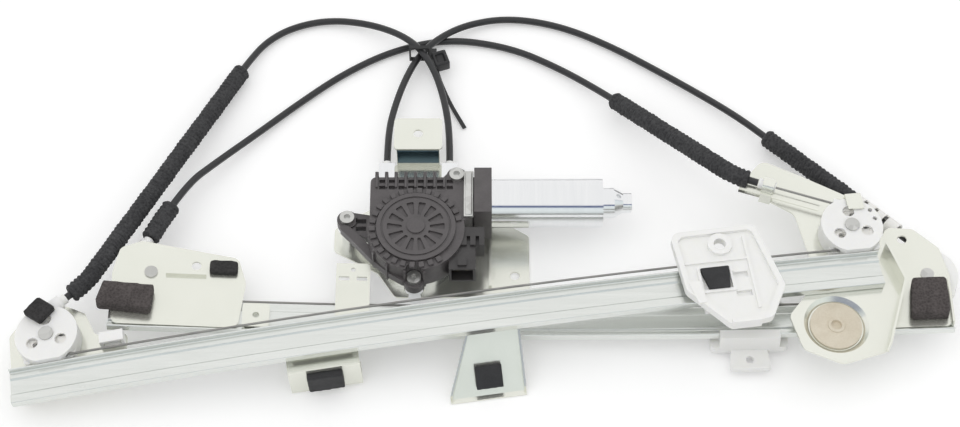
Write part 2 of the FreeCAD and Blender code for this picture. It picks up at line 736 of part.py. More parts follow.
def ear_strap():
    """Curved cable strap moulded between the left ear and the near ear."""
    outline = [(-97, 27), (-86, 15), (-74, 1), (-62, -10), (-51, -17), (-48, -12), (-59, -5), (-70, 6),
               (-81, 19), (-91, 29)]
    return slab(outline, DRUM_CASE_TOP + 2, DRUM_CASE_TOP + EAR_THICK + 1.5, 4)


def gearbox_housing():
    low = DRUM_CASE_TOP
    body = post(GEAR_X, GEAR_Y, low, GEARCASE_TOP, GEARCASE)
    worm_box = slab([(BOX_LEFT, 30), (BOX_LEFT, BOX_FAR), (0, BOX_FAR), (0, 32), (-30, 12), (-60, 12)],
                    low, GEARCASE_TOP, 4)
    flange = block(-4, CAN_START, CAN_Y - FLANGE_HALF, CAN_Y + FLANGE_HALF, FLANGE_LOW, CAN_Z + CAN)
    body = body.fuse([worm_box, flange, ear_strap()] + gear_ears())
    wheel_room = post(GEAR_X, GEAR_Y, WHEEL_LOW - 0.5, GEARCASE_TOP + 1, WHEEL_TIP + 0.8)
    body = body.cut(wheel_room)
    body = body.cut(rod(-66, -12, CAN_Y, CAN_Z, WORM + 0.6))
    body = body.cut(rod(-72, 0, CAN_Y, CAN_Z, SHAFT + RUNNING_GAP))
    body = body.cut(rod(-3, CAN_START + 1, CAN_Y, CAN_Z, CAN - 3))
    body = body.cut(post(GEAR_X, GEAR_Y, low - 1, WHEEL_LOW, DRIVE_SHAFT + RUNNING_GAP))
    for x, y in EAR_SPOTS:
        body = body.cut(post(x, y, low - 1, GEARCASE_TOP + 1, EAR_SCREW))
    for y in (25.5, 31.5):
        body = body.cut(block(-85, -78, y, y + 3.6, low - 1, low + EAR_THICK + 3))
    pockets = 8
    for index in range(pockets):
        x = BOX_LEFT + 6 + index * 6.6
        for y in (50.0, 55.0):
            body = body.cut(block(x, x + 4.2, y, y + 3, GEARCASE_TOP - 2.4, GEARCASE_TOP + 1))
    ribs = 16
    for index in range(ribs):
        angle = 360.0 * index / ribs + 190
        if 190 < angle % 360 < 300:
            rib = block(GEARCASE - 1.5, GEARCASE + 1.6, -0.9, 0.9, low, GEARCASE_TOP - 2)
            rib.rotate(V(0, 0, 0), UP, angle)
            body = body.fuse(around_gear(rib))
    for index, (x, y) in enumerate(EAR_SPOTS):
        body = body.cut(post(x, y, ear_top(index), GEARCASE_TOP + 9, EAR - 1.6))
    return body.removeSplitter()


def gearbox_cover():
    """Round cover with a raised centre and radial pockets."""
    low = GEARCASE_TOP
    high = low + COVER_THICK
    body = post(0, 0, low, high, WHEEL_TIP + 4.5)
    body = body.fuse([post(0, 0, high, high + 1.2, 6), post(0, 0, WHEEL_HIGH + 0.3, low, 7)])
    body = body.cut(post(0, 0, WHEEL_HIGH, low + 1.5, DRIVE_SHAFT + RUNNING_GAP))
    for index in range(SPOKES):
        pocket = slab([(9.5, -1.0), (19.5, -2.6), (19.5, 2.6), (9.5, 1.0)], high - 1.5, high + 1, 0.8)
        pocket.rotate(V(0, 0, 0), UP, 360.0 * index / SPOKES)
        body = body.cut(pocket)
    ring = post(0, 0, high - 0.8, high + 1, 24).cut(post(0, 0, high - 1, high + 1, 22.5))
    return around_gear(body.cut(ring))


def worm_wheel():
    """Wheel with teeth round its rim, a web and a pocket for the damper."""
    points = []
    root = WHEEL_TIP - 2.8
    step = 2 * math.pi / WHEEL_TEETH
    for index in range(WHEEL_TEETH):
        for share, radius in ((-0.30, root), (-0.13, WHEEL_TIP), (0.13, WHEEL_TIP), (0.30, root)):
            angle = step * (index + share)
            points.append((radius * math.cos(angle), radius * math.sin(angle)))
    body = slab(points, WHEEL_LOW, WHEEL_HIGH)
    body = body.cut(post(0, 0, WHEEL_LOW + 2, WHEEL_HIGH + 1, root - 3))
    return around_gear(body.cut(post(0, 0, WHEEL_LOW - 1, WHEEL_HIGH, DRIVE_SHAFT)))


def dogs(low, high, half):
    shapes = []
    for index in range(3):
        dog = block(8, 14, -half, half, low, high)
        dog.rotate(V(0, 0, 0), UP, 120.0 * index)
        shapes.append(dog)
    return shapes


def drive_damper():
    root = WHEEL_TIP - 5.8
    body = post(0, 0, WHEEL_LOW + 2, DAMPER_TOP, root)
    body = body.cut(post(0, 0, WHEEL_LOW, WHEEL_HIGH, DRIVE_SHAFT + 2))
    for dog in dogs(WHEEL_LOW, WHEEL_HIGH, DOG_HALF):
        body = body.cut(dog)
    return around_gear(body)


def drive_shaft():
    """Steel shaft with a three-dog driver over the damper."""
    shaft = post(0, 0, DRUM_LOW - 2, GEARCASE_TOP + 1, DRIVE_SHAFT)
    driver = post(0, 0, DAMPER_TOP, WHEEL_HIGH, 14)
    return around_gear(shaft.fuse([driver] + dogs(WHEEL_LOW + 2, DAMPER_TOP, DOG_HALF)).removeSplitter())


def cable_drum():
    """Drum with a rope groove of four turns, its flanges and a splined hub."""
    pitch = 2.4
    crest = DRUM + 0.4
    rim = DRUM + 1.6
    outline = [(DRIVE_SHAFT, DRUM_LOW), (rim, DRUM_LOW), (rim, DRUM_LOW + 1.1)]
    for index in range(GROOVES):
        base = DRUM_LOW + 1.1 + index * pitch
        outline += [(DRUM - 1, base + 0.4), (DRUM - 1, base + pitch - 0.5), (crest, base + pitch - 0.1)]
    outline += [(rim, DRUM_LOW + 1.5 + GROOVES * pitch), (rim, DRUM_HIGH), (DRIVE_SHAFT, DRUM_HIGH)]
    body = turned(outline)
    for index in range(6):
        angle = math.pi * index / 3
        body = body.cut(post(13 * math.cos(angle), 13 * math.sin(angle), DRUM_LOW - 1, DRUM_HIGH + 1, 4))
    return around_gear(body)


def drum_housing():
    """Cup round the drum, a three-eared rim under the gearbox and two rope guides."""
    wall = DRUM + 2.4
    shell = wall + 2.4
    cup = post(GEAR_X, GEAR_Y, SHEET, DRUM_CASE_TOP, shell)
    rim = slab([(x, y) for x, y in EAR_SPOTS], DRUM_CASE_TOP - 3, DRUM_CASE_TOP)
    pads = [post(x, y, DRUM_CASE_TOP - 3, DRUM_CASE_TOP, EAR) for x, y in EAR_SPOTS]
    legs = [post(x, y, SHEET, DRUM_CASE_TOP - 3, EAR_SCREW + 2) for x, y in EAR_SPOTS[:2]]
    guides = []
    for side in (-1, 1):
        x = GEAR_X + side * DRUM
        guides.append(block(x - 5.5, x + 5.5, GEAR_Y, ROPE_EXIT_Y + 9, ROPE_EXIT_Z - 5, ROPE_EXIT_Z + 5))
        guides.append(block(x - 2, x + 2, GEAR_Y, 70, SHEET, ROPE_EXIT_Z - 4))
    body = cup.fuse([rim] + pads + legs + guides)
    body = body.cut(post(GEAR_X, GEAR_Y, SHEET + 1.6, DRUM_CASE_TOP + 1, wall))
    for side in (-1, 1):
        x = GEAR_X + side * DRUM
        start = V(x, GEAR_Y, ROPE_EXIT_Z)
        body = body.cut(between(start, V(x, 120, ROPE_EXIT_Z), ROPE + 0.6))
        body = body.cut(between(V(x, ROPE_EXIT_Y, ROPE_EXIT_Z), V(x, 120, ROPE_EXIT_Z), FERRULE))
    for x, y in EAR_SPOTS:
        body = body.cut(post(x, y, SHEET - 1, DRUM_CASE_TOP + 1, EAR_SCREW))
    return body.cut(post(GEAR_X, GEAR_Y, 0, 5, DRIVE_SHAFT + RUNNING_GAP))


def motor_plate():
    """Galvanised plate under the drum housing, with an upturned fixing tab at its far end."""
    tab_left = TAB_X - TAB_HALF
    tab_right = TAB_X + TAB_HALF
    outline = [(-101, 24), (-101, 42), (-74, 60), (tab_left, TAB_WALL_Y), (tab_right, TAB_WALL_Y),
               (-10, 64), (34, 36), (34, -13), (-58, -13), (-70, 6)]
    plate = slab(outline, 0, SHEET, 4)
    wall = block(TAB_X - 15, TAB_X + 15, TAB_WALL_Y - SHEET, TAB_WALL_Y, 0, TAB_Z)
    tab = slab([(tab_left, TAB_WALL_Y - SHEET), (tab_right, TAB_WALL_Y - SHEET),
                (tab_right, TAB_END), (tab_left, TAB_END)], TAB_Z - SHEET, TAB_Z, 3)
    rib = block(6, 8, -6, 30, SHEET, 5)
    plate = plate.fuse([wall, tab, rib])
    plate = plate.cut(post(TAB_X, TAB_WALL_Y + 12, TAB_Z - 4, TAB_Z + 1, M6_HOLE))
    plate = plate.cut(post(24, 4, -1, SHEET + 1, M6_HOLE))
    plate = plate.cut(post(GEAR_X, GEAR_Y, -1, SHEET + 1, 9))
    for x, y in EAR_SPOTS[:2]:
        plate = plate.cut(post(x, y, -1, SHEET + 1, EAR_SCREW))
    return plate.removeSplitter()


def ear_screws():
    """Three screws through gearbox ears and drum housing."""
    screws = []
    for index, (x, y) in enumerate(EAR_SPOTS):
        low = 0.2 if index < 2 else DRUM_CASE_TOP - 3
        seat = ear_top(index)
        shank = post(x, y, low, seat, EAR_SCREW)
        head = post(x, y, seat, seat + 3.4, EAR - 2)
        socket = post(x, y, seat + 1, seat + 4, 2.2)
        screws.append(shank.fuse(head).cut(socket).removeSplitter())
    return screws


def motor_can():
    end = CAN_END
    body = rod(CAN_START, end, CAN_Y, CAN_Z, CAN)
    body = body.cut(rod(CAN_START - 1, end - CAN_WALL, CAN_Y, CAN_Z, CAN - CAN_WALL))
    return body.cut(rod(CAN_START, end + 1, CAN_Y, CAN_Z, SHAFT + 2))


def bearing_cap():
    """Stepped end boss of the motor with the shaft's rear bearing."""
    end = CAN_END
    body = rod(end, end + 8, CAN_Y, CAN_Z, 10.5)
    cone = Part.makeCone(10.5, 7, 6, V(end + 8, CAN_Y, CAN_Z), V(1, 0, 0))
    nose = rod(end + 14, end + 20, CAN_Y, CAN_Z, 7)
    plug = rod(end - CAN_WALL - 2, end, CAN_Y, CAN_Z, SHAFT + 2)
    body = body.fuse([cone, nose, plug])
    body = body.cut(rod(end - 6, end + 16, CAN_Y, CAN_Z, SHAFT + RUNNING_GAP))
    return body.cut(post(end + 11, CAN_Y, CAN_Z + 5, CAN_Z + 14, 1.6)).removeSplitter()


def magnets():
    ring = rod(MAGNET_START, MAGNET_END, 0, 0, CAN - CAN_WALL)
    ring = ring.cut(rod(MAGNET_START - 1, MAGNET_END + 1, 0, 0, MAGNET_IN))
    gap = block(MAGNET_START - 1, MAGNET_END + 1, -CAN, CAN, -5, 5)
    both = ring.cut(gap)
    both.translate(V(0, CAN_Y, CAN_Z))
    return both.Solids


def armature_core():
    low = CORE_START - 1
    high = CORE_END + 1
    body = rod(CORE_START, CORE_END, 0, 0, CORE)
    for index in range(CORE_SLOTS):
        slot = block(low, high, -1.4, 1.4, 7.2, CORE - 1)
        slot = slot.fuse(block(low, high, -0.6, 0.6, CORE - 2, CORE + 1))
        slot.rotate(V(0, 0, 0), V(1, 0, 0), 360.0 * index / CORE_SLOTS)
        body = body.cut(slot)
    body = body.cut(rod(low, high, 0, 0, SHAFT))
    body.translate(V(0, CAN_Y, CAN_Z))
    return body


def windings():
    turns = []
    for low, high in ((CORE_START - COIL, CORE_START), (CORE_END, CORE_END + COIL)):
        coil = rod(low, high, CAN_Y, CAN_Z, 10.8).cut(rod(low - 1, high + 1, CAN_Y, CAN_Z, SHAFT))
        turns.append(coil)
    return turns


def commutator():
    body = rod(11.5, 19.5, 0, 0, 5.5).cut(rod(10, 21, 0, 0, SHAFT))
    for index in range(CORE_SLOTS):
        slit = block(11, 18, -0.25, 0.25, 4.6, 6)
        slit.rotate(V(0, 0, 0), V(1, 0, 0), 360.0 * index / CORE_SLOTS)
        body = body.cut(slit)
    body.translate(V(0, CAN_Y, CAN_Z))
    return body


def brush_holder():
    body = rod(CAN_START, CAN_START + 2, CAN_Y, CAN_Z, CAN - CAN_WALL)
    body = body.cut(rod(0, 20, CAN_Y, CAN_Z, 6.6))
    for side in (-1, 1):
        y = CAN_Y + side * 10.6
        guide = block(10, 18.5, y - 3.6, y + 3.6, CAN_Z - 3.4, CAN_Z + 3.4)
        body = body.fuse(guide)
        body = body.cut(block(11.9, 17.1, y - 6, y + 6, CAN_Z - 2.3, CAN_Z + 2.3))
    return body.removeSplitter()


def brushes():
    pair = []
    for side in (-1, 1):
        low = CAN_Y + side * 5.9
        high = CAN_Y + side * 13.5
        pair.append(block(11.9, 17.1, min(low, high), max(low, high), CAN_Z - 2.3, CAN_Z + 2.3))
    return pair


def armature_shaft():
    """Motor shaft with the worm cut on it."""
    end = CAN_END
    shaft = rod(-71.5, end + 15.5, CAN_Y, CAN_Z, SHAFT)
    root = rod(GEAR_X - WORM_HALF - 2, GEAR_X + WORM_HALF + 2, CAN_Y, CAN_Z, WORM_ROOT)
    return shaft.fuse(root).removeSplitter()


def worm_thread():
    """Helical thread of the worm, seated on the shaft's root."""
    helix = Part.makeHelix(WORM_PITCH, 2 * WORM_HALF, WORM_ROOT)
    crest = 0.7
    flank = 1.3
    corners = [V(WORM_ROOT, 0, -flank), V(WORM, 0, -crest), V(WORM, 0, crest), V(WORM_ROOT, 0, flank)]
    section = Part.makePolygon(corners + corners[:1])
    thread = helix.makePipeShell([section], True, True)
    thread.rotate(V(0, 0, 0), V(0, 1, 0), 90)
    thread.translate(V(GEAR_X - WORM_HALF, CAN_Y, CAN_Z))
    return thread


def connector():
    """Plug socket on the gearbox, open towards the viewer, with a notched cap over its root."""
    low = DRUM_CASE_TOP + 1
    high = GEARCASE_TOP - 3
    body = block(PLUG_X, PLUG_X + 18, -12, 10, low, high)
    cap = block(PLUG_X + 8, PLUG_X + 24, 6, 20, low + 3, high + 2)
    for notch in (12.0, 18.0):
        cap = cap.cut(block(PLUG_X + notch, PLUG_X + notch + 2.4, 5, 13, high - 1, high + 3))
    latch = block(PLUG_X + 6, PLUG_X + 12, -10, -4, high, high + 2)
    case = post(GEAR_X, GEAR_Y, low - 1, high + 3, GEARCASE)
    body = body.fuse([cap, latch]).cut(case)
    socket = block(PLUG_X + 1.8, PLUG_X + 16.2, -14, 0, low + 1.8, high - 1.8)
    return body.cut(socket).removeSplitter()


def connector_pins():
    middle = (DRUM_CASE_TOP + GEARCASE_TOP) / 2 - 1
    places = (PLUG_X + 6, PLUG_X + 12)
    return [block(x - 0.8, x + 0.8, -8, 0, middle - 0.4, middle + 0.4) for x in places]


def conduit_routes():
    """Each conduit's points, closed by the ends that it plugs into."""
    reach = FERRULE_LENGTH + GROOVE_GAP
    to_rear = ROUTE_TO_REAR + [REAR_HIGH.outside(REAR_HIGH.stop + reach)]
    end = FRONT_LOW.stop + reach
    to_front = ROUTE_TO_FRONT + [FRONT_LOW.outside(end + 16), FRONT_LOW.outside(end)]
    low_end = REAR_LOW.stop + reach
    high_end = FRONT_HIGH.stop + reach
    link = [REAR_LOW.outside(low_end), REAR_LOW.outside(low_end + 48)] + ROUTE_LINK
    link += [FRONT_HIGH.outside(high_end + 16), FRONT_HIGH.outside(high_end)]
    return [("conduit_to_rear_rail", to_rear), ("conduit_to_front_rail", to_front), ("conduit_link", link)]


def sleeve(edges, trim):
    """Padded sleeve round the given runs of a conduit, cut back from the end that plugs in."""
    path = Part.Wire(edges)
    body = tube(path, SLEEVE).cut(tube(path, CONDUIT))
    if trim:
        end = path.OrderedVertexes[-1].Point
        last = path.OrderedEdges[-1]
        way = last.tangentAt(last.LastParameter)
        body = body.cut(between(end - way * trim, end + way, SLEEVE + 1))
    return body


# Zip tie that gathers the conduits

def zip_tie():
    plane_y = 187.0
    left, right, low, high = -50.2, -38.0, 5.9, 18.6
    thick = 1.2
    half = 1.4
    loop = block(left - thick, right + thick, plane_y - half, plane_y + half, low - thick, high + thick)
    loop = loop.cut(block(left, right, plane_y - 3, plane_y + 3, low, high))
    head = block(right + thick, right + 6.5, plane_y - 3, plane_y + 3, 9, 14)
    tail_points = [V(right + 4, plane_y - 2, 11.5), V(-30, 170, 5), V(-22, 150, 1.6), V(-11, 128, 1.4)]
    path = rounded(tail_points, None, False)[0]
    way = tail_points[1] - tail_points[0]
    side = way.cross(UP)
    side.normalize()
    over = side.cross(way)
    over.normalize()
    start = tail_points[0]
    corners = [start + side * 1.4 + over * 0.5, start + side * 1.4 - over * 0.5,
               start - side * 1.4 - over * 0.5, start - side * 1.4 + over * 0.5]
    tail = swept(path, Part.makePolygon(corners + corners[:1]))
    return loop.fuse([head, tail]).removeSplitter()


def main():
    total = 0
    total += save("front_rail", channel_rail(FRONT))
    total += save("rear_rail", channel_rail(REAR))
    plates = {
        "front_lower": front_lower_plate(), "front_upper": front_upper_plate(),
        "rear_lower": rear_lower_plate(), "rear_upper": rear_upper_plate()}
    pins = []
    caps = []
    for end in ENDS:
        on_front = end.rail is FRONT
        floor = PLATE_TOP if on_front else REAR_TOP
        total += save(end.name + "_plate", end.rail.seat(end.along, plates[end.name]))
        total += save(end.name + "_pulley_case", end.rail.seat(end.along, pulley_case(end, floor)))
        wheel = pulley()
        wheel.translate(end.hub)
        total += save(end.name + "_pulley", end.rail.seat(end.along, wheel))
        pins.append(end.rail.seat(end.along, pulley_pin(end, floor, floor - SHEET)))
        caps.append(ferrule(end.outside(end.stop), end.outside(end.stop + FERRULE_LENGTH)))
    total += save("pulley_pins", *pins)
    for x in (EXIT_LEFT, EXIT_RIGHT):
        exit_spot = V(x, ROPE_EXIT_Y, ROPE_EXIT_Z)
        caps.append(ferrule(exit_spot, exit_spot + V(0, FERRULE_LENGTH, 0)))
    total += save("conduit_ferrules", *caps)
    total += save("front_rope", rope(FRONT_LOW, FRONT_HIGH))
    total += save("rear_rope", rope(REAR_LOW, REAR_HIGH))
    drum_ropes = []
    for x in (EXIT_LEFT, EXIT_RIGHT):
        drum_ropes.append(between(V(x, GEAR_Y + 26, ROPE_EXIT_Z), V(x, CONDUIT_START, ROPE_EXIT_Z), ROPE))
    total += save("drum_ropes", *drum_ropes)

    total += save("front_centre_tab", centre_tab())
    total += save("front_side_tab", FRONT.seat(SIDE_TAB, side_tab()))
    total += save("tab_buffers", *tab_buffers())
    seat = ROPE_RISE + FERRULE + 1.6
    diamond = slab([(11, 0), (0, 10), (-11, 0), (0, -10)], seat, seat + 5, 1.5)
    diamond.translate(V(-3, 48, 0))
    total += save("front_lower_buffer", FRONT.seat(FRONT_LOW.along, diamond))
    clip = block(34, 50, 20, 28, PLATE_TOP, ROPE_RISE)
    clip = clip.cut(block(36, 48, 19, 29, PLATE_TOP + 3, ROPE_RISE - 2))
    total += save("front_lower_clip", FRONT.seat(FRONT_LOW.along, clip))

    total += save("rear_bracket", REAR.seat(GEAR_X - GEARCASE - 9.6, rear_bracket()))
    top = REAR_LOW_FACE
    foam_left = slab([(-35, 1), (2, -2), (4, 25), (-28, 28)], top - 9.5, top, 3)
    total += save("rear_lower_foam", REAR.seat(REAR_LOW.along, foam_left))
    foam_right = slab([(-15, -4), (11, -4), (11, 24), (-12, 24)], top - 10, top, 3)
    total += save("rear_upper_foam", REAR.seat(REAR_HIGH.along, foam_right))
    pad = slab([(39, 31), (58, 31), (58, 41), (39, 41)], top - 4, top, 2)
    total += save("rear_plate_pad", REAR.seat(REAR_LOW.along, pad))
    square = slab([(-9, -9), (9, -9), (9, 9), (-9, 9)], BEAD_UNDER - 4, BEAD_UNDER, 2)
    square = square.cut(post(0, 0, top - 9, top + 9, 2.2))
    total += save("rear_rail_clip", REAR.seat(-150.0, square))

    total += save("front_slider", FRONT.seat(FRONT_REST, front_slider()))
    total += save("front_slider_insert", FRONT.seat(FRONT_REST, front_insert()))
    total += save("front_rope_nipple", FRONT.seat(FRONT_REST, nipple()))
    total += save("rear_slider", REAR.seat(REAR_REST, rear_slider()))
    total += save("rear_rope_nipple", REAR.seat(REAR_REST, nipple()))

    total += save("motor_plate", motor_plate())
    total += save("drum_housing", drum_housing())
    total += save("cable_drum", cable_drum())
    total += save("drive_shaft", drive_shaft())
    total += save("drive_damper", drive_damper())
    total += save("worm_wheel", worm_wheel())
    total += save("gearbox_housing", gearbox_housing())
    total += save("gearbox_cover", gearbox_cover())
    total += save("gearbox_screws", *ear_screws())
    total += save("connector", connector())
    total += save("connector_pins", *connector_pins())
    total += save("motor_can", motor_can())
    total += save("bearing_cap", bearing_cap())
    total += save("magnets", *magnets())
    total += save("armature_core", armature_core())
    total += save("armature_windings", *windings())
    total += save("commutator", commutator())
    total += save("brush_holder", brush_holder())
    total += save("brushes", *brushes())
    total += save("armature_shaft", armature_shaft(), worm_thread())

    runs = {}
    for name, points in conduit_routes():
        path, radii = rounded(points, None, False)
        body = tube(path, CONDUIT)
        runs[name] = path.OrderedEdges
        total += save(name, body)
        print("   length %.1f  volume ratio %.4f  radii" % (
            path.Length, body.Volume / (math.pi * CONDUIT ** 2 * path.Length)), [round(r) for r in radii])
    sleeves = [
        sleeve(runs["conduit_to_rear_rail"][-1:], SLEEVE_STOP),
        sleeve(runs["conduit_to_front_rail"][-3:], 0),
        sleeve(runs["conduit_link"][:1], 0),
        sleeve(runs["conduit_link"][-3:], 0)]
    total += save("conduit_sleeves", *sleeves)
    total += save("zip_tie", zip_tie())
    print("total facets", total)
    for rail, rest in ((FRONT, FRONT_REST), (REAR, REAR_REST)):
        centre = rail.centre() + ORIGIN
        print("rail", rail.side, "centre", centre, "axis", rail.across(), "rest", rail.place(rest).Base + ORIGIN)
    for end in ENDS:
        hub = end.rail.point(end.along, end.hub.x, end.hub.y, end.hub.z) + ORIGIN
        print(end.name, "hub", hub, "axis", end.rail.place(end.along).Rotation.multVec(UP))


if __name__ == "__main__":
    main()
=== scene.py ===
"""Window regulator with two crossed rails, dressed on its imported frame."""

import json
import logging
import math
from dataclasses import dataclass, field
from enum import Enum

import bpy
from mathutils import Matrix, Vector


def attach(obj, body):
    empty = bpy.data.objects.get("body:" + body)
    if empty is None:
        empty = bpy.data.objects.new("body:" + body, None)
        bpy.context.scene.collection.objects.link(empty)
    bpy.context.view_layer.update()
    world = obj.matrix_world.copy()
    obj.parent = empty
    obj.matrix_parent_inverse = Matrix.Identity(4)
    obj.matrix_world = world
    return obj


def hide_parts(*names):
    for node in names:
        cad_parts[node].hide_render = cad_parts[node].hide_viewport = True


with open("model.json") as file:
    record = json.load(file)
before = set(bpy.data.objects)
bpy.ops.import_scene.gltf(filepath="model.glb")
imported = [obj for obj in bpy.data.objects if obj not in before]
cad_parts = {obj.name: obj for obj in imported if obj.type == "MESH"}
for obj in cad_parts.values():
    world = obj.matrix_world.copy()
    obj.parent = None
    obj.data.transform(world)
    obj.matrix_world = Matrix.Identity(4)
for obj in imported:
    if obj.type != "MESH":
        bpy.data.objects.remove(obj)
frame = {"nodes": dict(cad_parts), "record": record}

LOG = logging.getLogger("regulator")
MM = 0.001
Colour = tuple[float, float, float]
Point = tuple[float, float, float]
Tree = bpy.types.NodeTree
Socket = bpy.types.NodeSocket
Node = bpy.types.Node
Piece = bpy.types.Object

# How each finish is mixed
COAT_ROUGHNESS = 0.25
MILK_RADIUS = (0.004, 0.004, 0.0035)
MILK_SCALE = 0.6
FINE_DETAIL = 4.0
BROAD_DETAIL = 2.0
BROAD_REPEATS = 0.12
FINE_SHARE = 0.45
BROAD_SHARE = 0.55
NOISE_ROUGHNESS = 0.6
LAYER_WOBBLE = 0.4
STRAND_WOBBLE = 1.2
COLOUR_STOPS = (0.28, 0.72)
GLOSS_STOPS = (0.25, 0.75)

# Points closer than this are one
SAME_PLACE = 0.01 * MM

# Largest angles in degrees that are shaded smooth
NODE_SMOOTH = 32.0
PIECE_SMOOTH = 35.0
TUBE_SMOOTH = 60.0
FOAM_SMOOTH = 80.0


class Grain(Enum):
    """What breaks up a surface: its pattern and how the bump follows it."""

    SPANGLE = "spangle"
    PLATING = "plating"
    ROLLED = "rolled"
    TURNED = "turned"
    MOULDED = "moulded"
    FOAM = "foam"
    STRAND = "strand"
    LAYERS = "layers"


@dataclass(frozen=True)
class Finish:
    """One material of the regulator, made from nodes."""

    name: str
    colour: Colour
    second: Colour
    grain: Grain
    metal: float = 0.0
    rough: tuple[float, float] = (0.4, 0.5)
    bump: float = 0.1
    depth: float = 0.0002
    coat: float = 0.0
    milky: float = 0.0

    def stretch(self) -> Point:
        """Repeats of the pattern per metre along X, Y and Z."""
        return {
            Grain.SPANGLE: (160.0, 160.0, 160.0),
            Grain.PLATING: (55.0, 55.0, 55.0),
            Grain.ROLLED: (14.0, 420.0, 420.0),
            Grain.TURNED: (700.0, 26.0, 26.0),
            Grain.MOULDED: (900.0, 900.0, 900.0),
            Grain.FOAM: (620.0, 620.0, 620.0),
            Grain.STRAND: (420.0, 420.0, 420.0),
            Grain.LAYERS: (900.0, 2.0, 2.0),
        }[self.grain]

    def make(self) -> bpy.types.Material:
        """Build the node material.

        Returns:
            The new material.
        """
        material = bpy.data.materials.new(self.name)
        material.use_nodes = True
        material.diffuse_color = (*self.colour, 1.0)
        tree = material.node_tree
        shader = tree.nodes["Principled BSDF"]
        shader.inputs["Metallic"].default_value = self.metal
        shader.inputs["Coat Weight"].default_value = self.coat
        shader.inputs["Coat Roughness"].default_value = COAT_ROUGHNESS
        if self.milky:
            shader.inputs["Subsurface Weight"].default_value = self.milky
            shader.inputs["Subsurface Radius"].default_value = MILK_RADIUS
            shader.inputs["Subsurface Scale"].default_value = MILK_SCALE
        fine = self._pattern(tree, self.stretch(), FINE_DETAIL)
        wide = tuple(value * BROAD_REPEATS for value in self.stretch())
        broad = self._pattern(tree, wide, BROAD_DETAIL)
        mixed = tree.nodes.new("ShaderNodeMath")
        mixed.operation = "MULTIPLY_ADD"
        tree.links.new(fine, mixed.inputs[0])
        mixed.inputs[1].default_value = FINE_SHARE
        half = tree.nodes.new("ShaderNodeMath")
        half.operation = "MULTIPLY"
        tree.links.new(broad, half.inputs[0])
        half.inputs[1].default_value = BROAD_SHARE
        tree.links.new(half.outputs[0], mixed.inputs[2])
        self._colours(tree, mixed.outputs[0], shader)
        self._roughness(tree, mixed.outputs[0], shader)
        self._relief(tree, fine, shader)
        return material

    def _pattern(self, tree: Tree, repeats: Point, detail: float) -> Socket:
        """Add the grain's texture in the piece's own coordinates.

        Args:
            tree: The material's nodes.
            repeats: Pattern repeats per metre.
            detail: Octaves of the noise.

        Returns:
            The texture's value, about 0 to 1.
        """
        place = tree.nodes.new("ShaderNodeTexCoord")
        spread = tree.nodes.new("ShaderNodeMapping")
        spread.inputs["Scale"].default_value = repeats
        tree.links.new(place.outputs["Object"], spread.inputs["Vector"])
        if self.grain in (Grain.SPANGLE, Grain.FOAM) and detail > BROAD_DETAIL:
            cells = tree.nodes.new("ShaderNodeTexVoronoi")
            cells.inputs["Scale"].default_value = 1.0
            cells.inputs["Randomness"].default_value = 1.0
            tree.links.new(spread.outputs["Vector"], cells.inputs["Vector"])
            if self.grain is Grain.FOAM:
                return cells.outputs["Distance"]
            grey = tree.nodes.new("ShaderNodeRGBToBW")
            tree.links.new(cells.outputs["Color"], grey.inputs["Color"])
            return grey.outputs["Val"]
        if self.grain is Grain.LAYERS:
            bands = tree.nodes.new("ShaderNodeTexWave")
            bands.inputs["Scale"].default_value = 1.0
            bands.inputs["Distortion"].default_value = LAYER_WOBBLE
            tree.links.new(spread.outputs["Vector"], bands.inputs["Vector"])
            return bands.outputs["Fac"]
        if self.grain is Grain.STRAND and detail > BROAD_DETAIL:
            bands = tree.nodes.new("ShaderNodeTexWave")
            bands.bands_direction = "DIAGONAL"
            bands.inputs["Scale"].default_value = 1.0
            bands.inputs["Distortion"].default_value = STRAND_WOBBLE
            tree.links.new(spread.outputs["Vector"], bands.inputs["Vector"])
            return bands.outputs["Fac"]
        noise = tree.nodes.new("ShaderNodeTexNoise")
        noise.inputs["Scale"].default_value = 1.0
        noise.inputs["Detail"].default_value = detail
        noise.inputs["Roughness"].default_value = NOISE_ROUGHNESS
        tree.links.new(spread.outputs["Vector"], noise.inputs["Vector"])
        return noise.outputs["Fac"]

    def _colours(self, tree: Tree, value: Socket, shader: Node) -> None:
        """Blend the two colours by the pattern.

        Args:
            tree: The material's nodes.
            value: The pattern.
            shader: The surface shader.
        """
        ramp = tree.nodes.new("ShaderNodeValToRGB")
        for stop, at, shade in zip(ramp.color_ramp.elements, COLOUR_STOPS, (self.second, self.colour)):
            stop.position = at
            stop.color = (*shade, 1.0)
        tree.links.new(value, ramp.inputs["Fac"])
        tree.links.new(ramp.outputs["Color"], shader.inputs["Base Color"])

    def _roughness(self, tree: Tree, value: Socket, shader: Node) -> None:
        """Let the gloss vary with the pattern.

        Args:
            tree: The material's nodes.
            value: The pattern.
            shader: The surface shader.
        """
        reach = tree.nodes.new("ShaderNodeMapRange")
        reach.inputs["From Min"].default_value = GLOSS_STOPS[0]
        reach.inputs["From Max"].default_value = GLOSS_STOPS[1]
        reach.inputs["To Min"].default_value = self.rough[1]
        reach.inputs["To Max"].default_value = self.rough[0]
        tree.links.new(value, reach.inputs["Value"])
        tree.links.new(reach.outputs["Result"], shader.inputs["Roughness"])

    def _relief(self, tree: Tree, value: Socket, shader: Node) -> None:
        """Raise the surface a little with the fine pattern.

        Args:
            tree: The material's nodes.
            value: The fine pattern.
            shader: The surface shader.
        """
        bump = tree.nodes.new("ShaderNodeBump")
        bump.inputs["Strength"].default_value = self.bump
        bump.inputs["Distance"].default_value = self.depth
        tree.links.new(value, bump.inputs["Height"])
        tree.links.new(bump.outputs["Normal"], shader.inputs["Normal"])


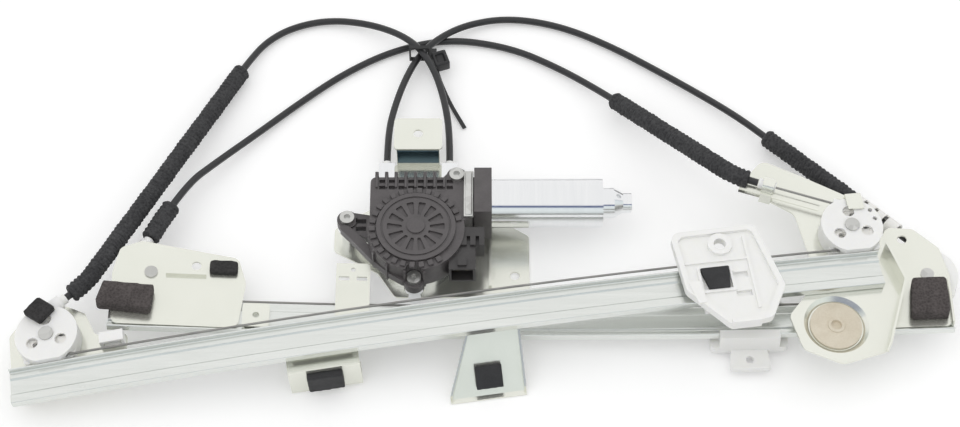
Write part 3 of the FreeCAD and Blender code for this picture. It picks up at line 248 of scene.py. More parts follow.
FINISHES: dict[str, Finish] = {
    finish.name: finish
    for finish in (
        Finish("rail_steel", (0.80, 0.815, 0.79), (0.70, 0.72, 0.69),
               Grain.ROLLED, 0.9, (0.18, 0.30), 0.05),
        Finish("plated_steel", (0.84, 0.845, 0.775), (0.79, 0.80, 0.72),
               Grain.PLATING, 0.8, (0.16, 0.27), 0.012),
        Finish("white_plastic", (0.90, 0.90, 0.885), (0.87, 0.87, 0.85),
               Grain.MOULDED, 0.0, (0.34, 0.44), 0.03, milky=0.3),
        Finish("pulley_plastic", (0.90, 0.89, 0.86), (0.86, 0.85, 0.81),
               Grain.MOULDED, 0.0, (0.36, 0.46), 0.03, milky=0.25),
        Finish("pin_steel", (0.66, 0.66, 0.64), (0.50, 0.50, 0.48),
               Grain.SPANGLE, 0.9, (0.26, 0.40), 0.04),
        Finish("rope_steel", (0.46, 0.45, 0.43), (0.20, 0.20, 0.19),
               Grain.STRAND, 0.8, (0.32, 0.5), 0.5, 0.0004),
        Finish("black_foam", (0.095, 0.082, 0.080), (0.045, 0.038, 0.037),
               Grain.FOAM, 0.0, (0.8, 0.95), 0.7, 0.0008),
        Finish("sleeve_cloth", (0.060, 0.060, 0.062), (0.026, 0.026, 0.028),
               Grain.FOAM, 0.0, (0.8, 0.95), 0.6, 0.0006),
        Finish("black_rubber", (0.026, 0.026, 0.028), (0.014, 0.014, 0.015),
               Grain.MOULDED, 0.0, (0.55, 0.72), 0.15),
        Finish("gearcase_plastic", (0.105, 0.096, 0.098), (0.070, 0.064, 0.065),
               Grain.MOULDED, 0.0, (0.34, 0.50), 0.2, coat=0.1),
        Finish("dark_plastic", (0.055, 0.052, 0.052), (0.036, 0.034, 0.034),
               Grain.MOULDED, 0.0, (0.35, 0.5), 0.15),
        Finish("can_steel", (0.86, 0.865, 0.87), (0.80, 0.81, 0.82),
               Grain.TURNED, 1.0, (0.10, 0.16), 0.015),
        Finish("magnet_ferrite", (0.08, 0.08, 0.085), (0.05, 0.05, 0.055),
               Grain.MOULDED, 0.2, (0.5, 0.7), 0.2),
        Finish("core_steel", (0.40, 0.40, 0.42), (0.22, 0.22, 0.24),
               Grain.LAYERS, 0.8, (0.35, 0.5), 0.4),
        Finish("copper", (0.62, 0.30, 0.14), (0.38, 0.16, 0.07),
               Grain.TURNED, 0.8, (0.3, 0.45), 0.5),
        Finish("carbon", (0.05, 0.05, 0.05), (0.03, 0.03, 0.03),
               Grain.MOULDED, 0.0, (0.6, 0.8), 0.2),
        Finish("contact_brass", (0.74, 0.56, 0.26), (0.60, 0.44, 0.20),
               Grain.SPANGLE, 0.9, (0.25, 0.4), 0.05),
        Finish("conduit_black", (0.022, 0.022, 0.024), (0.014, 0.014, 0.015),
               Grain.MOULDED, 0.0, (0.30, 0.42), 0.12, coat=0.15),
        # Dark teal steel for the thin sheet on the motor plate's wall: painted reflection, its darkness
        # stands in for the dark that the shiny wall mirrors
        Finish("dark_reflection_steel", (0.10, 0.17, 0.20), (0.05, 0.09, 0.13),
               Grain.PLATING, 0.9, (0.14, 0.26), 0.02),
        Finish("dense_foam", (0.034, 0.032, 0.032), (0.018, 0.017, 0.017),
               Grain.FOAM, 0.0, (0.75, 0.9), 0.6, 0.0006),
        Finish("washer_felt", (0.76, 0.70, 0.58), (0.62, 0.55, 0.43),
               Grain.MOULDED, 0.0, (0.7, 0.85), 0.2),
        Finish("nylon_black", (0.020, 0.020, 0.021), (0.014, 0.014, 0.015),
               Grain.MOULDED, 0.0, (0.4, 0.5), 0.08),
    )
}


class Wardrobe:
    """Makes each finish once and puts it on nodes and new pieces."""

    def __init__(self) -> None:
        """Start with no material made."""
        self.made: dict[str, bpy.types.Material] = {}

    def material(self, slot: str) -> bpy.types.Material:
        """Give the material of a finish.

        Args:
            slot: Name of the finish, which is a slot of the record or one of this script's own.

        Returns:
            Its material.
        """
        if slot not in self.made:
            self.made[slot] = FINISHES[slot].make()
        return self.made[slot]

    def dress_nodes(self) -> None:
        """Put the finish of its slot on every node of the frame."""
        for part in frame["record"]["subparts"]:
            node = frame["nodes"][part["node"]]
            node.data.materials.clear()
            node.data.materials.append(self.material(part["material_slot"]))
            Bench.pick(node)
            bpy.ops.object.shade_smooth_by_angle(angle=math.radians(NODE_SMOOTH))
        Bench.clear()

    def dress(self, piece: Piece, slot: str, body: str) -> None:
        """Finish a new piece and let it ride.

        Args:
            piece: The new piece.
            slot: The finish that it takes.
            body: The body that carries it.
        """
        piece.data.materials.clear()
        piece.data.materials.append(self.material(slot))
        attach(piece, body)
        LOG.info("%s on %s as %s", piece.name, body, slot)


WARDROBE = Wardrobe()


class Bench:
    """Hand tools that every sub-assembly uses."""

    @staticmethod
    def clear() -> None:
        """Leave edit mode and select nothing."""
        if bpy.context.object and bpy.context.object.mode == "EDIT":
            bpy.ops.object.mode_set(mode="OBJECT")
        bpy.ops.object.select_all(action="DESELECT")

    @staticmethod
    def pick(piece: Piece) -> None:
        """Make one piece the selected and active one."""
        Bench.clear()
        piece.select_set(True)
        bpy.context.view_layer.objects.active = piece

    @staticmethod
    def settle(piece: Piece, smooth: float = PIECE_SMOOTH) -> None:
        """Apply a piece's modifiers and place, and smooth its faces.

        Args:
            piece: The piece.
            smooth: Largest angle in degrees that is shaded smooth.
        """
        Bench.pick(piece)
        for modifier in list(piece.modifiers):
            bpy.ops.object.modifier_apply(modifier=modifier.name)
        bpy.ops.object.transform_apply(location=True, rotation=True, scale=True)
        bpy.ops.object.shade_smooth_by_angle(angle=math.radians(smooth))
        Bench.clear()

    @staticmethod
    def edit_vertices(piece: Piece, wanted: list[bool]) -> None:
        """Enter edit mode with the wanted vertices selected.

        Args:
            piece: The piece.
            wanted: One mark for each vertex.
        """
        Bench.pick(piece)
        bpy.ops.object.mode_set(mode="EDIT")
        bpy.ops.mesh.select_mode(type="VERT")
        bpy.ops.mesh.select_all(action="DESELECT")
        bpy.ops.object.mode_set(mode="OBJECT")
        for vertex, mark in zip(piece.data.vertices, wanted):
            vertex.select = mark
        bpy.ops.object.mode_set(mode="EDIT")


@dataclass
class Conduit:
    """A sheathed cable held between its two end seats."""

    name: str
    node: str
    length: float
    route: list[Point]
    thickness: float = 5.0 * MM

    def build(self) -> Piece:
        """Draw the cable on one smooth line through its route.

        Returns:
            The cable.
        """
        curve = bpy.data.curves.new(self.name, "CURVE")
        curve.dimensions = "3D"
        line = curve.splines.new("NURBS")
        line.points.add(len(self.route) - 1)
        for point, (x, y, z) in zip(line.points, self.route):
            point.co = (x * MM, y * MM, z * MM, 1.0)
        line.order_u = 3
        line.use_endpoint_u = True
        curve.resolution_u = 14
        curve.bevel_depth = self.thickness / 2
        curve.bevel_resolution = 6
        curve.use_fill_caps = True
        piece = bpy.data.objects.new(self.name, curve)
        bpy.context.scene.collection.objects.link(piece)
        WARDROBE.dress(piece, "conduit_black", "base")
        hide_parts(self.node)
        return piece


@dataclass
class Sleeve:
    """A ribbed, cloth-covered sleeve pushed over a stretch of a conduit."""

    name: str
    cable: str
    start: float
    finish: float
    radius: float = 6.5 * MM
    pitch: float = 3.4 * MM
    groove: float = 0.9 * MM
    shoulder: float = 0.4
    sides: int = 48
    rings_per_rib: int = 4
    mouth: float = 0.46
    tuck: float = 2.0 * MM
    fold: float = 4.0 * MM
    unevenness: float = 1.1 * MM
    fold_middle: float = 0.55

    def build(self, line: Piece) -> None:
        """Make the ribbed tube and lay it along its conduit.

        A start or finish below zero is measured back from the conduit's far end.

        Args:
            line: The bare line of the conduit that it sits on.
        """
        reach = Sleeve.length_of(line)
        near = self.start * MM if self.start >= 0 else reach + self.start * MM
        far = self.finish * MM if self.finish > 0 else reach + self.finish * MM
        length = far - near
        count = round(length / self.pitch) * self.rings_per_rib
        step = length / count
        Bench.clear()
        bpy.ops.mesh.primitive_cylinder_add(vertices=self.sides, radius=self.radius, depth=step,
                                            end_fill_type="NOTHING", location=(0, 0, (step - length) / 2))
        piece = bpy.context.object
        piece.name = self.name
        rings = piece.modifiers.new("rings", "ARRAY")
        rings.count = count
        rings.use_relative_offset = False
        rings.use_constant_offset = True
        rings.constant_offset_displace = (0, 0, step)
        rings.use_merge_vertices = True
        rings.merge_threshold = SAME_PLACE
        Bench.settle(piece)
        self._ribs(piece, length, step)
        self._ends(piece, length)
        self._ruffle(piece)
        self.lay(piece, line, near + length / 2)
        WARDROBE.dress(piece, "sleeve_cloth", "base")
        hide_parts("conduit_sleeves")

    @staticmethod
    def length_of(line: Piece) -> float:
        """Measure a conduit along its own spline."""
        return line.data.splines[0].calc_length()

    def _ribs(self, piece: Piece, length: float, step: float) -> None:
        """Sink one ring of each rib into a groove and the rings beside it partly.

        Args:
            piece: The plain tube along Z.
            length: Its length.
            step: The distance between two rings.
        """
        every = self.rings_per_rib
        beside = self.groove * self.shoulder
        for offset, depth in ((0, self.groove), (1, beside), (every - 1, beside)):
            marks = [round((vertex.co.z + length / 2) / step) % every == offset
                     for vertex in piece.data.vertices]
            Bench.edit_vertices(piece, marks)
            shrink = 1 - depth / self.radius
            bpy.ops.transform.resize(value=(shrink, shrink, 1), center_override=(0, 0, 0))
        bpy.ops.object.mode_set(mode="OBJECT")

    def _ends(self, piece: Piece, length: float) -> None:
        """Close both ends inwards to the cable.

        Args:
            piece: The ribbed tube along Z.
            length: Its length.
        """
        for side in (-1, 1):
            marks = [abs(vertex.co.z - side * length / 2) < SAME_PLACE for vertex in piece.data.vertices]
            Bench.edit_vertices(piece, marks)
            bpy.ops.mesh.extrude_region_move()
            bpy.ops.transform.resize(value=(self.mouth, self.mouth, 1), center_override=(0, 0, 0))
            bpy.ops.mesh.extrude_region_move()
            bpy.ops.transform.translate(value=(0, 0, -side * self.tuck))
            bpy.ops.object.mode_set(mode="OBJECT")

    def _ruffle(self, piece: Piece) -> None:
        """Make the ribs slightly uneven, as on a gathered sleeve."""
        grain = bpy.data.textures.new(self.name + "_folds", "CLOUDS")
        grain.noise_scale = self.fold
        uneven = piece.modifiers.new("folds", "DISPLACE")
        uneven.texture = grain
        uneven.strength = self.unevenness
        uneven.mid_level = self.fold_middle

    @staticmethod
    def lay(piece: Piece, line: Piece, centre: float) -> None:
        """Turn the tube along X and bend it along its conduit.

        Args:
            piece: The finished straight tube along Z.
            line: The bare line of the conduit.
            centre: Distance of its middle from the conduit's start.
        """
        piece.rotation_euler = (0.0, math.radians(90), 0.0)
        Bench.pick(piece)
        bpy.ops.object.transform_apply(location=False, rotation=True, scale=False)
        piece.location = (centre, 0.0, 0.0)
        bpy.ops.object.transform_apply(location=True, rotation=False, scale=False)
        bend = piece.modifiers.new("bend", "CURVE")
        bend.object = line
        bend.deform_axis = "POS_X"
        Bench.settle(piece, TUBE_SMOOTH)


@dataclass
class Guide:
    """The white moulded guide between a sleeve and the pulley housing, with windows on the conduit."""

    name: str
    cable: str
    start: float
    finish: float
    radius: float = 6.2 * MM
    wall: float = 1.3 * MM
    sides: int = 24
    rings: int = 12
    necks: tuple[int, ...] = (2, 3, 5, 6, 8, 9)
    neck: float = 0.84
    windows: tuple[int, ...] = (2, 5, 8)
    window_side: float = 0.45
    edge: float = 0.3 * MM

    def build(self, line: Piece) -> None:
        """Make the windowed tube and lay it along its conduit.

        Its start and finish are measured back from the conduit's far end.

        Args:
            line: The bare line of the conduit inside it.
        """
        reach = Sleeve.length_of(line)
        near = reach + self.start * MM
        length = (self.finish - self.start) * MM
        Bench.clear()
        bpy.ops.mesh.primitive_cylinder_add(vertices=self.sides, radius=self.radius, depth=length,
                                            end_fill_type="NOTHING")
        piece = bpy.context.object
        piece.name = self.name
        bpy.ops.object.mode_set(mode="EDIT")
        bpy.ops.mesh.select_mode(type="EDGE")
        bpy.ops.mesh.select_all(action="SELECT")
        bpy.ops.mesh.subdivide(number_cuts=self.rings - 1)
        self._collars(piece, length)
        self._windows(piece, length)
        wall = piece.modifiers.new("wall", "SOLIDIFY")
        wall.thickness = self.wall
        wall.offset = -1.0
        edge_round = piece.modifiers.new("edges", "BEVEL")
        edge_round.width = self.edge
        edge_round.segments = 2
        Sleeve.lay(piece, line, near + length / 2)
        WARDROBE.dress(piece, "pulley_plastic", "base")

    def _collars(self, piece: Piece, length: float) -> None:
        """Draw in the rings between the collars.

        Args:
            piece: The plain tube along Z.
            length: Its length.
        """
        step = length / self.rings
        marks = [round((vertex.co.z + length / 2) / step) in self.necks for vertex in piece.data.vertices]
        Bench.edit_vertices(piece, marks)
        bpy.ops.transform.resize(value=(self.neck, self.neck, 1), center_override=(0, 0, 0))
        bpy.ops.object.mode_set(mode="OBJECT")

    def _windows(self, piece: Piece, length: float) -> None:
        """Open the windows through which the conduit shows.

        Args:
            piece: The collared tube along Z.
            length: Its length.
        """
        step = length / self.rings
        Bench.pick(piece)
        bpy.ops.object.mode_set(mode="EDIT")
        bpy.ops.mesh.select_mode(type="FACE")
        bpy.ops.mesh.select_all(action="DESELECT")
        bpy.ops.object.mode_set(mode="OBJECT")
        for face in piece.data.polygons:
            ring = int((face.center.z + length / 2) / step)
            face.select = ring in self.windows and -face.center.x > self.radius * self.window_side
        bpy.ops.object.mode_set(mode="EDIT")
        bpy.ops.mesh.delete(type="FACE")
        bpy.ops.object.mode_set(mode="OBJECT")


@dataclass
class Cables:
    """The three conduits with their sleeves and the guide."""

    conduits: list[Conduit] = field(default_factory=lambda: [
        Conduit("cable_to_rear_rail", "conduit_to_rear_rail", 525.9, [
            (-69.9, 85.3, 9.5), (-69.9, 111.0, 9.5), (-65.5, 135.0, 9.2), (-58.5, 159.0, 9.0),
            (-49.5, 179.0, 9.2), (-35.5, 196.0, 8.9), (-13.5, 211.0, 6.4), (17.5, 219.0, 3.4),
            (54.5, 212.0, 3.0), (91.5, 193.0, 3.2),
            (127.5, 168.0, 4.0), (161.5, 142.0, 6.0), (182.5, 123.5, 8.2), (202.0, 103.5, 10.1),
            (290.8, 12.6, 19.0)]),
        Conduit("cable_to_front_rail", "conduit_to_front_rail", 495.5, [
            (-25.9, 85.3, 9.5), (-25.9, 109.0, 9.7), (-29.5, 136.0, 11.5), (-36.5, 161.0, 14.4),
            (-47.5, 182.0, 15.4), (-64.5, 199.0, 11.5), (-89.5, 212.0, 6.5), (-117.5, 217.0, 3.4),
            (-143.5, 210.0, 3.2), (-161.5, 196.0, 4.0), (-172.5, 177.0, 6.5), (-181.9, 157.1, 8.9),
            (-262.2, -12.8, 29.5), (-269.0, -27.2, 31.2), (-281.2, -37.6, 29.9)]),
        Conduit("cable_between_rails", "conduit_link", 562.5, [
            (-230.4, 13.1, 22.8), (-210.9, 56.9, 21.2), (-188.5, 86.0, 11.5), (-162.5, 114.0, 5.5),
            (-134.5, 142.0, 3.0), (-102.5, 169.0, 3.1), (-66.5, 190.0, 3.0), (-26.5, 200.0, 3.1),
            (17.5, 192.0, 3.0), (51.5, 173.5, 3.7), (80.5, 150.5, 7.5), (104.6, 123.8, 17.2),
            (160.1, 62.3, 39.6), (170.4, 50.8, 43.8), (185.6, 46.1, 43.0)])])
    sleeves: list[Sleeve] = field(default_factory=lambda: [
        Sleeve("sleeve_rear_upper", "cable_to_rear_rail", -132.0, -50.0),
        Sleeve("sleeve_front_lower", "cable_to_front_rail", -232.0, -4.0),
        Sleeve("sleeve_rear_lower", "cable_between_rails", 0.6, 30.9),
        Sleeve("sleeve_front_upper", "cable_between_rails", -137.0, -7.0)])
    guide: Guide = field(default_factory=lambda: Guide(
        "guide_rear_upper", "cable_to_rear_rail", -49.6, -13.0))

    def build(self) -> None:
        """Make the cables first, then what sits on them."""
        lines = {conduit.name: self._bare_line(conduit.build()) for conduit in self.conduits}
        for sleeve in self.sleeves:
            sleeve.build(lines[sleeve.cable])
        self.guide.build(lines[self.guide.cable])
        for line in lines.values():
            bpy.data.objects.remove(line)

    @staticmethod
    def _bare_line(cable: Piece) -> Piece:
        """Copy a conduit's spline without its thickness, for the pieces that follow it.

        Args:
            cable: The conduit.

        Returns:
            The bare line.
        """
        data = cable.data.copy()
        data.bevel_depth = 0.0
        data.twist_mode = "Z_UP"
        data.materials.clear()
        line = bpy.data.objects.new(cable.name + "_line", data)
        bpy.context.scene.collection.objects.link(line)
        return line


@dataclass
class SoftBlocks:
    """Foam blocks and rubber buffers, softened from their solids."""

    blocks: tuple[tuple[str, str, int], ...] = (
        ("rear_lower_foam", "black_foam", 5),
        ("rear_upper_foam", "black_foam", 5),
        ("rear_plate_pad", "dense_foam", 5),
        ("front_lower_buffer", "dense_foam", 5),
        ("tab_buffers", "black_rubber", 4))
    voxel: float = 0.8 * MM
    smoothing: float = 0.5
    weld: float = 0.001 * MM
    cuts: dict[str, tuple[Point, Point]] = field(default_factory=lambda: {
        "rear_lower_foam": ((-240.0, -31.5, 36.0), (0.06, 1.0, 0.0))})

    def build(self) -> None:
        """Make every block."""
        for node, slot, rounds in self.blocks:
            self._soften(node, slot, rounds)

    def _soften(self, node: str, slot: str, rounds: int) -> None:
        """Copy a solid, trim it where it has a cut, close it and round its edges.

        Args:
            node: The solid's node.
            slot: The finish.
            rounds: How often its skin is smoothed.
        """
        source = frame["nodes"][node]
        piece = source.copy()
        piece.data = source.data.copy()
        for key in list(piece.keys()):
            del piece[key]
        piece.parent = None
        piece.name = node + "_soft"
        bpy.context.scene.collection.objects.link(piece)
        Bench.pick(piece)
        bpy.ops.object.mode_set(mode="EDIT")
        bpy.ops.mesh.select_all(action="SELECT")
        bpy.ops.mesh.remove_doubles(threshold=self.weld)
        if node in self.cuts:
            place, normal = self.cuts[node]
            bpy.ops.mesh.bisect(plane_co=[value * MM for value in place], plane_no=normal, use_fill=True,
                                clear_outer=True)
        bpy.ops.object.mode_set(mode="OBJECT")
        remesh = piece.modifiers.new("close", "REMESH")
        remesh.mode = "VOXEL"
        remesh.voxel_size = self.voxel
        round_off = piece.modifiers.new("round", "SMOOTH")
        round_off.factor = self.smoothing
        round_off.iterations = rounds
        Bench.settle(piece, FOAM_SMOOTH)
        WARDROBE.dress(piece, slot, "base")
        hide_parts(node)


@dataclass
class Fittings:
    """Small pieces that sit on the plates, the gear motor and the cables, and a dark sheet of painted
    reflection on the motor plate's wall, in millimetres.
    """

    cup: Point = (231.8, -59.2, 29.77)
    cup_lean: float = 0.056
    washer: float = 17.5
    washer_thick: float = 1.4
    washer_face: float = 11.8
    washer_rise: float = 1.1
    washer_rim: float = 2.2
    washer_sink: float = 2.2
    washer_sides: int = 64
    washer_edge: float = 0.3
    strip_low: Point = (-15.6, 20.0, 39.5)
    strip_high: Point = (-9.0, 57.0, 41.4)
    strip_rim: float = 1.2
    strip_rise: float = 0.6
    strip_edge: float = 0.5
    tie_head: Point = (-33.2, 174.6, 10.2)
    tie_sides: Point = (11.0, 13.0, 8.6)
    tie_rim: float = 2.6
    tie_sink: float = 2.4
    tie_turn: float = 18.0
    tie_edge: float = 1.8
    gear: Point = (-47.9, 11.6, 39.5)
    tooth: Point = (4.2, 3.6, 1.7)
    tooth_circle: float = 29.7
    tooth_places: int = 30
    tooth_steps: int = 24
    first_tooth: float = -58.0
    tooth_edge: float = 0.35
    ribs: int = 8
    rib_left: float = -76.0
    rib_step: float = 6.6
    rib_near: float = 44.0
    rib_far: float = 56.0
    last_rib_far: float = 51.6
    rib_thick: float = 1.6
    rib_sink: float = 0.2
    rib_rise: float = 1.8
    rib_edge: float = 0.3
    fin_shift: float = -0.4
    fin_thick: float = 2.4
    fin_near: float = 52.6
    fin_far: float = 56.6
    fin_drop: float = 12.0
    fin_edge: float = 0.4
    # Corners and edge radius of the thin dark sheet on the motor plate's wall: a painted reflection, not a
    # real part
    reflection_sheet_low: Point = (-62.6, 86.9, 7.0)
    reflection_sheet_high: Point = (-33.4, 87.4, 21.4)
    reflection_sheet_edge: float = 0.15

    def build(self) -> None:
        """Make every fitting."""
        self._washer()
        self._strip()
        self._tie_head()
        # Dark sheet over the motor plate's wall: painted reflection standing in for the dark that the wall
        # mirrors
        self._slip("dark_reflection_sheet", "dark_reflection_steel", self.reflection_sheet_low, self.reflection_sheet_high, self.reflection_sheet_edge)
        self._ring()
        self._lattice()

    @staticmethod
    def _block(name: str, sides: Point) -> Piece:
        """Make a block round the origin.

        Args:
            name: Its name.
            sides: Its three sides.

        Returns:
            The block, selected and active.
        """
        Bench.clear()
        bpy.ops.mesh.primitive_cube_add(size=MM)
        piece = bpy.context.object
        piece.name = name
        piece.scale = sides
        Bench.pick(piece)
        bpy.ops.object.transform_apply(location=False, rotation=False, scale=True)
        return piece

    @staticmethod
    def _seat(piece: Piece, slot: str, place: Point, edge: float, turn: Point = (0.0, 0.0, 0.0)) -> None:
        """Round a piece's edges, put it in its place and finish it.

        Args:
            piece: The piece round the origin.
            slot: Its finish.
            place: Its centre.
            edge: Radius of its edges.
            turn: Its turn about X, Y and Z in radians.
        """
        rounding = piece.modifiers.new("edges", "BEVEL")
        rounding.width = edge * MM
        rounding.segments = 3
        rounding.limit_method = "ANGLE"
        piece.rotation_euler = turn
        piece.location = [value * MM for value in place]
        Bench.settle(piece)
        WARDROBE.dress(piece, slot, "base")

    @staticmethod
    def _raise_top(rim: float, height: float) -> None:
        """Leave a rim round the selected face and move what is inside it up, or down below zero.

        Args:
            rim: Width of the rim.
            height: How far the face moves.
        """
        bpy.ops.mesh.inset(thickness=rim * MM)
        bpy.ops.mesh.extrude_region_move(TRANSFORM_OT_translate={"value": (0, 0, height * MM)})

    def _slip(self, name: str, slot: str, low: Point, high: Point, edge: float) -> None:
        """Make one block with rounded edges between two corners.

        Args:
            name: Its name.
            slot: Its finish.
            low: Its lowest corner.
            high: Its highest corner.
            edge: Radius of its edges.
        """
        piece = self._block(name, tuple(top - base for base, top in zip(low, high)))
        self._seat(piece, slot, tuple((base + top) / 2 for base, top in zip(low, high)), edge)

    def _ring(self) -> None:
        """Spin the raised teeth that circle the gear cover, with a gap at the lower screw."""
        piece = self._block("case_teeth", self.tooth)
        piece.location = (self.tooth_circle * MM, 0.0, self.tooth[2] / 2 * MM)
        bpy.ops.object.transform_apply(location=True, rotation=False, scale=False)
        piece.rotation_euler = (0.0, 0.0, math.radians(self.first_tooth))
        bpy.ops.object.transform_apply(location=False, rotation=True, scale=False)
        bpy.ops.object.mode_set(mode="EDIT")
        bpy.ops.mesh.select_all(action="SELECT")
        bpy.ops.mesh.spin(steps=self.tooth_steps, dupli=True, center=(0, 0, 0), axis=(0, 0, 1),
                          angle=math.tau / self.tooth_places * self.tooth_steps)
        bpy.ops.object.mode_set(mode="OBJECT")
        self._seat(piece, "gearcase_plastic", self.gear, self.tooth_edge)

    def _lattice(self) -> None:
        """Stand the moulded ribs along the far edge of the gear case, with a fin after each but the last."""
        case_top = self.gear[2]
        top = case_top + self.rib_rise
        for index in range(self.ribs):
            last = index == self.ribs - 1
            left = self.rib_left + index * self.rib_step
            far = self.last_rib_far if last else self.rib_far
            self._slip(f"case_rib_{index}", "gearcase_plastic",
                       (left, self.rib_near, case_top - self.rib_sink),
                       (left + self.rib_thick, far, top), self.rib_edge)
            if not last:
                left += self.fin_shift
                self._slip(f"case_fin_{index}", "gearcase_plastic",
                           (left, self.fin_near, case_top - self.fin_drop),
                           (left + self.fin_thick, self.fin_far, top), self.fin_edge)

    def _washer(self) -> None:
        """Lay the felt washer with its stud seat in the drawn cup of the upper plate."""
        Bench.clear()
        bpy.ops.mesh.primitive_cylinder_add(vertices=self.washer_sides, radius=self.washer * MM,
                                            depth=self.washer_thick * MM)
        piece = bpy.context.object
        piece.name = "cup_washer"
        Fittings.pick_face(piece, (0, 0, 1))
        self._raise_top(self.washer_face, self.washer_rise)
        self._raise_top(self.washer_rim, -self.washer_sink)
        bpy.ops.object.mode_set(mode="OBJECT")
        self._seat(piece, "washer_felt", self.cup, self.washer_edge, (0.0, self.cup_lean, 0.0))

    def _strip(self) -> None:
        """Set the bright cover strip along the motor flange."""
        corners = list(zip(self.strip_low, self.strip_high))
        piece = self._block("flange_strip", tuple(top - base for base, top in corners))
        Fittings.pick_face(piece, (0, 0, 1))
        self._raise_top(self.strip_rim, self.strip_rise)
        bpy.ops.object.mode_set(mode="OBJECT")
        middle = tuple((base + top) / 2 for base, top in corners)
        self._seat(piece, "pin_steel", middle, self.strip_edge)

    def _tie_head(self) -> None:
        """Close the zip tie with its rounded head beside the crossing."""
        piece = self._block("tie_head", self.tie_sides)
        Fittings.pick_face(piece, (0, 0, 1))
        self._raise_top(self.tie_rim, -self.tie_sink)
        bpy.ops.object.mode_set(mode="OBJECT")
        self._seat(piece, "nylon_black", self.tie_head, self.tie_edge,
                   (0.0, 0.0, math.radians(self.tie_turn)))

    @staticmethod
    def pick_face(piece: Piece, normal: Point) -> None:
        """Enter edit mode with the faces that point one way selected.

        Args:
            piece: The piece.
            normal: The way that they point.
        """
        Bench.pick(piece)
        bpy.ops.object.mode_set(mode="EDIT")
        bpy.ops.mesh.select_mode(type="FACE")
        bpy.ops.mesh.select_all(action="DESELECT")
        bpy.ops.object.mode_set(mode="OBJECT")
        for face in piece.data.polygons:
            face.select = face.normal.dot(Vector(normal)) > 0.99
        bpy.ops.object.mode_set(mode="EDIT")


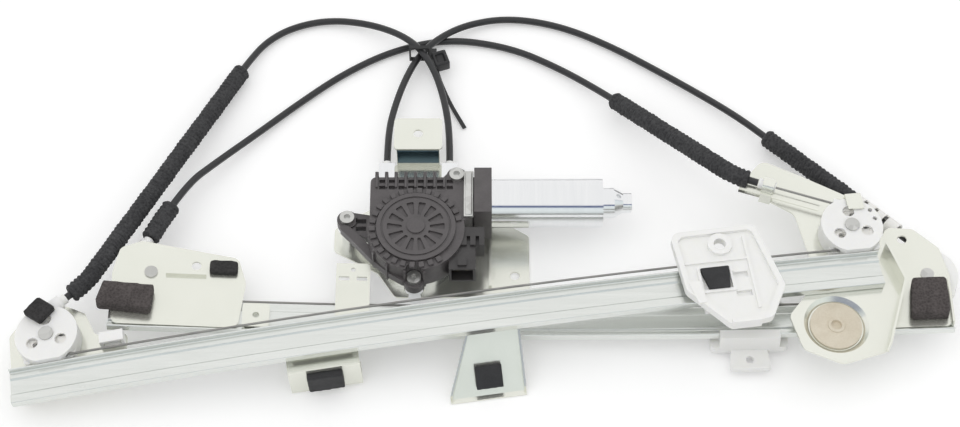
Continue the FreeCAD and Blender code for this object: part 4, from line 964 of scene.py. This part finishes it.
@dataclass
class Studio:
    """Pale floor, soft light and the camera at the photograph's angle."""

    elevation: float = 57.0
    distance: float = 1.6
    aim: Point = (-0.0045, 0.049, 0.0)
    lens: float = 85.7
    sensor: float = 36.0
    floor_size: float = 6.0
    floor_drop: float = 0.4 * MM
    floor_grey: float = 0.90
    floor_roughness: float = 0.9
    floor_glow: float = 0.20
    room_light: float = 0.68
    near_side: float = 4.0
    room_shades: tuple[tuple[float, Colour], ...] = (
        (0.05, (0.62, 0.68, 0.68)),
        (0.73, (1.0, 1.0, 1.0)),
        (0.36, (0.86, 0.91, 0.91)),
        (0.57, (0.84, 0.90, 0.93)),
        (0.595, (0.06, 0.09, 0.22)),
        (0.68, (0.09, 0.13, 0.27)))
    lamps: tuple[tuple[str, Point, float, float], ...] = (
        ("key", (-0.9, -0.5, 2.3), 3.4, 22.0),
        ("fill", (1.4, 0.9, 1.6), 2.6, 9.0))

    def build(self) -> None:
        """Set the stage."""
        self._camera()
        self._floor()
        self._world()
        for name, place, size, power in self.lamps:
            self._lamp(name, place, size, power)

    def _camera(self) -> None:
        """Place the camera in front of and above the object."""
        rise = math.radians(self.elevation)
        back = Vector((0.0, -math.cos(rise), math.sin(rise)))
        data = bpy.data.cameras.new("camera")
        data.lens = self.lens
        data.sensor_width = self.sensor
        camera = bpy.data.objects.new("camera", data)
        camera.location = Vector(self.aim) + back * self.distance
        camera.rotation_euler = (math.radians(90.0 - self.elevation), 0.0, 0.0)
        bpy.context.scene.collection.objects.link(camera)
        bpy.context.scene.camera = camera

    def _floor(self) -> None:
        """Lay the white sheet just under the object, so that it doesn't share a plane with the plates."""
        Bench.clear()
        bpy.ops.mesh.primitive_plane_add(size=self.floor_size, location=(0, 0, -self.floor_drop))
        sheet = bpy.context.object
        sheet.name = "floor"
        material = bpy.data.materials.new("floor_white")
        material.use_nodes = True
        tree = material.node_tree
        shader = tree.nodes["Principled BSDF"]
        shader.inputs["Base Color"].default_value = (self.floor_grey, self.floor_grey, self.floor_grey, 1.0)
        shader.inputs["Roughness"].default_value = self.floor_roughness
        shader.inputs["Emission Color"].default_value = (1.0, 1.0, 1.0, 1.0)
        path = tree.nodes.new("ShaderNodeLightPath")
        either = tree.nodes.new("ShaderNodeMath")
        either.operation = "MAXIMUM"
        tree.links.new(path.outputs["Is Camera Ray"], either.inputs[0])
        tree.links.new(path.outputs["Is Glossy Ray"], either.inputs[1])
        glow = tree.nodes.new("ShaderNodeMath")
        glow.operation = "MULTIPLY"
        glow.inputs[1].default_value = self.floor_glow
        tree.links.new(either.outputs[0], glow.inputs[0])
        tree.links.new(glow.outputs[0], shader.inputs["Emission Strength"])
        sheet.data.materials.append(material)

    def _world(self) -> None:
        """Light the scene evenly, and show shiny metal a white room with a dark band part of the way up."""
        world = bpy.data.worlds.new("room")
        world.use_nodes = True
        bpy.context.scene.world = world
        tree = world.node_tree
        tree.nodes.clear()
        out = tree.nodes.new("ShaderNodeOutputWorld")
        place = tree.nodes.new("ShaderNodeTexCoord")
        split = tree.nodes.new("ShaderNodeSeparateXYZ")
        tree.links.new(place.outputs["Generated"], split.inputs["Vector"])
        ramp = tree.nodes.new("ShaderNodeValToRGB")
        stops = ramp.color_ramp.elements
        for stop, (at, shade) in zip((stops[0], stops[1]), self.room_shades):
            stop.position = at
            stop.color = (*shade, 1.0)
        for at, shade in self.room_shades[2:]:
            stops.new(at).color = (*shade, 1.0)
        behind = tree.nodes.new("ShaderNodeMath")
        behind.operation = "MULTIPLY"
        behind.use_clamp = True
        behind.inputs[1].default_value = self.near_side
        tree.links.new(split.outputs["Y"], behind.inputs[0])
        height = tree.nodes.new("ShaderNodeMath")
        tree.links.new(split.outputs["Z"], height.inputs[0])
        tree.links.new(behind.outputs[0], height.inputs[1])
        tree.links.new(height.outputs[0], ramp.inputs["Fac"])
        mirror = tree.nodes.new("ShaderNodeBackground")
        tree.links.new(ramp.outputs["Color"], mirror.inputs["Color"])
        plain = tree.nodes.new("ShaderNodeBackground")
        plain.inputs["Color"].default_value = (1.0, 1.0, 1.0, 1.0)
        plain.inputs["Strength"].default_value = self.room_light
        white = tree.nodes.new("ShaderNodeBackground")
        white.inputs["Color"].default_value = (1.0, 1.0, 1.0, 1.0)
        path = tree.nodes.new("ShaderNodeLightPath")
        first = tree.nodes.new("ShaderNodeMixShader")
        tree.links.new(path.outputs["Is Glossy Ray"], first.inputs["Fac"])
        tree.links.new(plain.outputs[0], first.inputs[1])
        tree.links.new(mirror.outputs[0], first.inputs[2])
        second = tree.nodes.new("ShaderNodeMixShader")
        tree.links.new(path.outputs["Is Camera Ray"], second.inputs["Fac"])
        tree.links.new(first.outputs[0], second.inputs[1])
        tree.links.new(white.outputs[0], second.inputs[2])
        tree.links.new(second.outputs[0], out.inputs["Surface"])

    def _lamp(self, name: str, place: Point, size: float, power: float) -> None:
        """Hang one large soft lamp aimed at the object.

        Args:
            name: The lamp's name.
            place: Where it hangs.
            size: Its side.
            power: Its power in watts.
        """
        data = bpy.data.lights.new(name, "AREA")
        data.size = size
        data.energy = power
        lamp = bpy.data.objects.new(name, data)
        lamp.location = place
        lamp.visible_glossy = False
        lamp.rotation_mode = "QUATERNION"
        lamp.rotation_quaternion = (Vector(self.aim) - Vector(place)).to_track_quat("-Z", "Y")
        bpy.context.scene.collection.objects.link(lamp)


def main() -> None:
    """Dress the regulator and set the stage."""
    logging.basicConfig(level=logging.INFO, format="%(message)s")
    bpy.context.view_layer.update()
    bpy.context.scene.view_settings.view_transform = "Standard"
    Studio().build()
    Cables().build()
    WARDROBE.dress_nodes()
    SoftBlocks().build()
    Fittings().build()


if __name__ == "__main__":
    main()
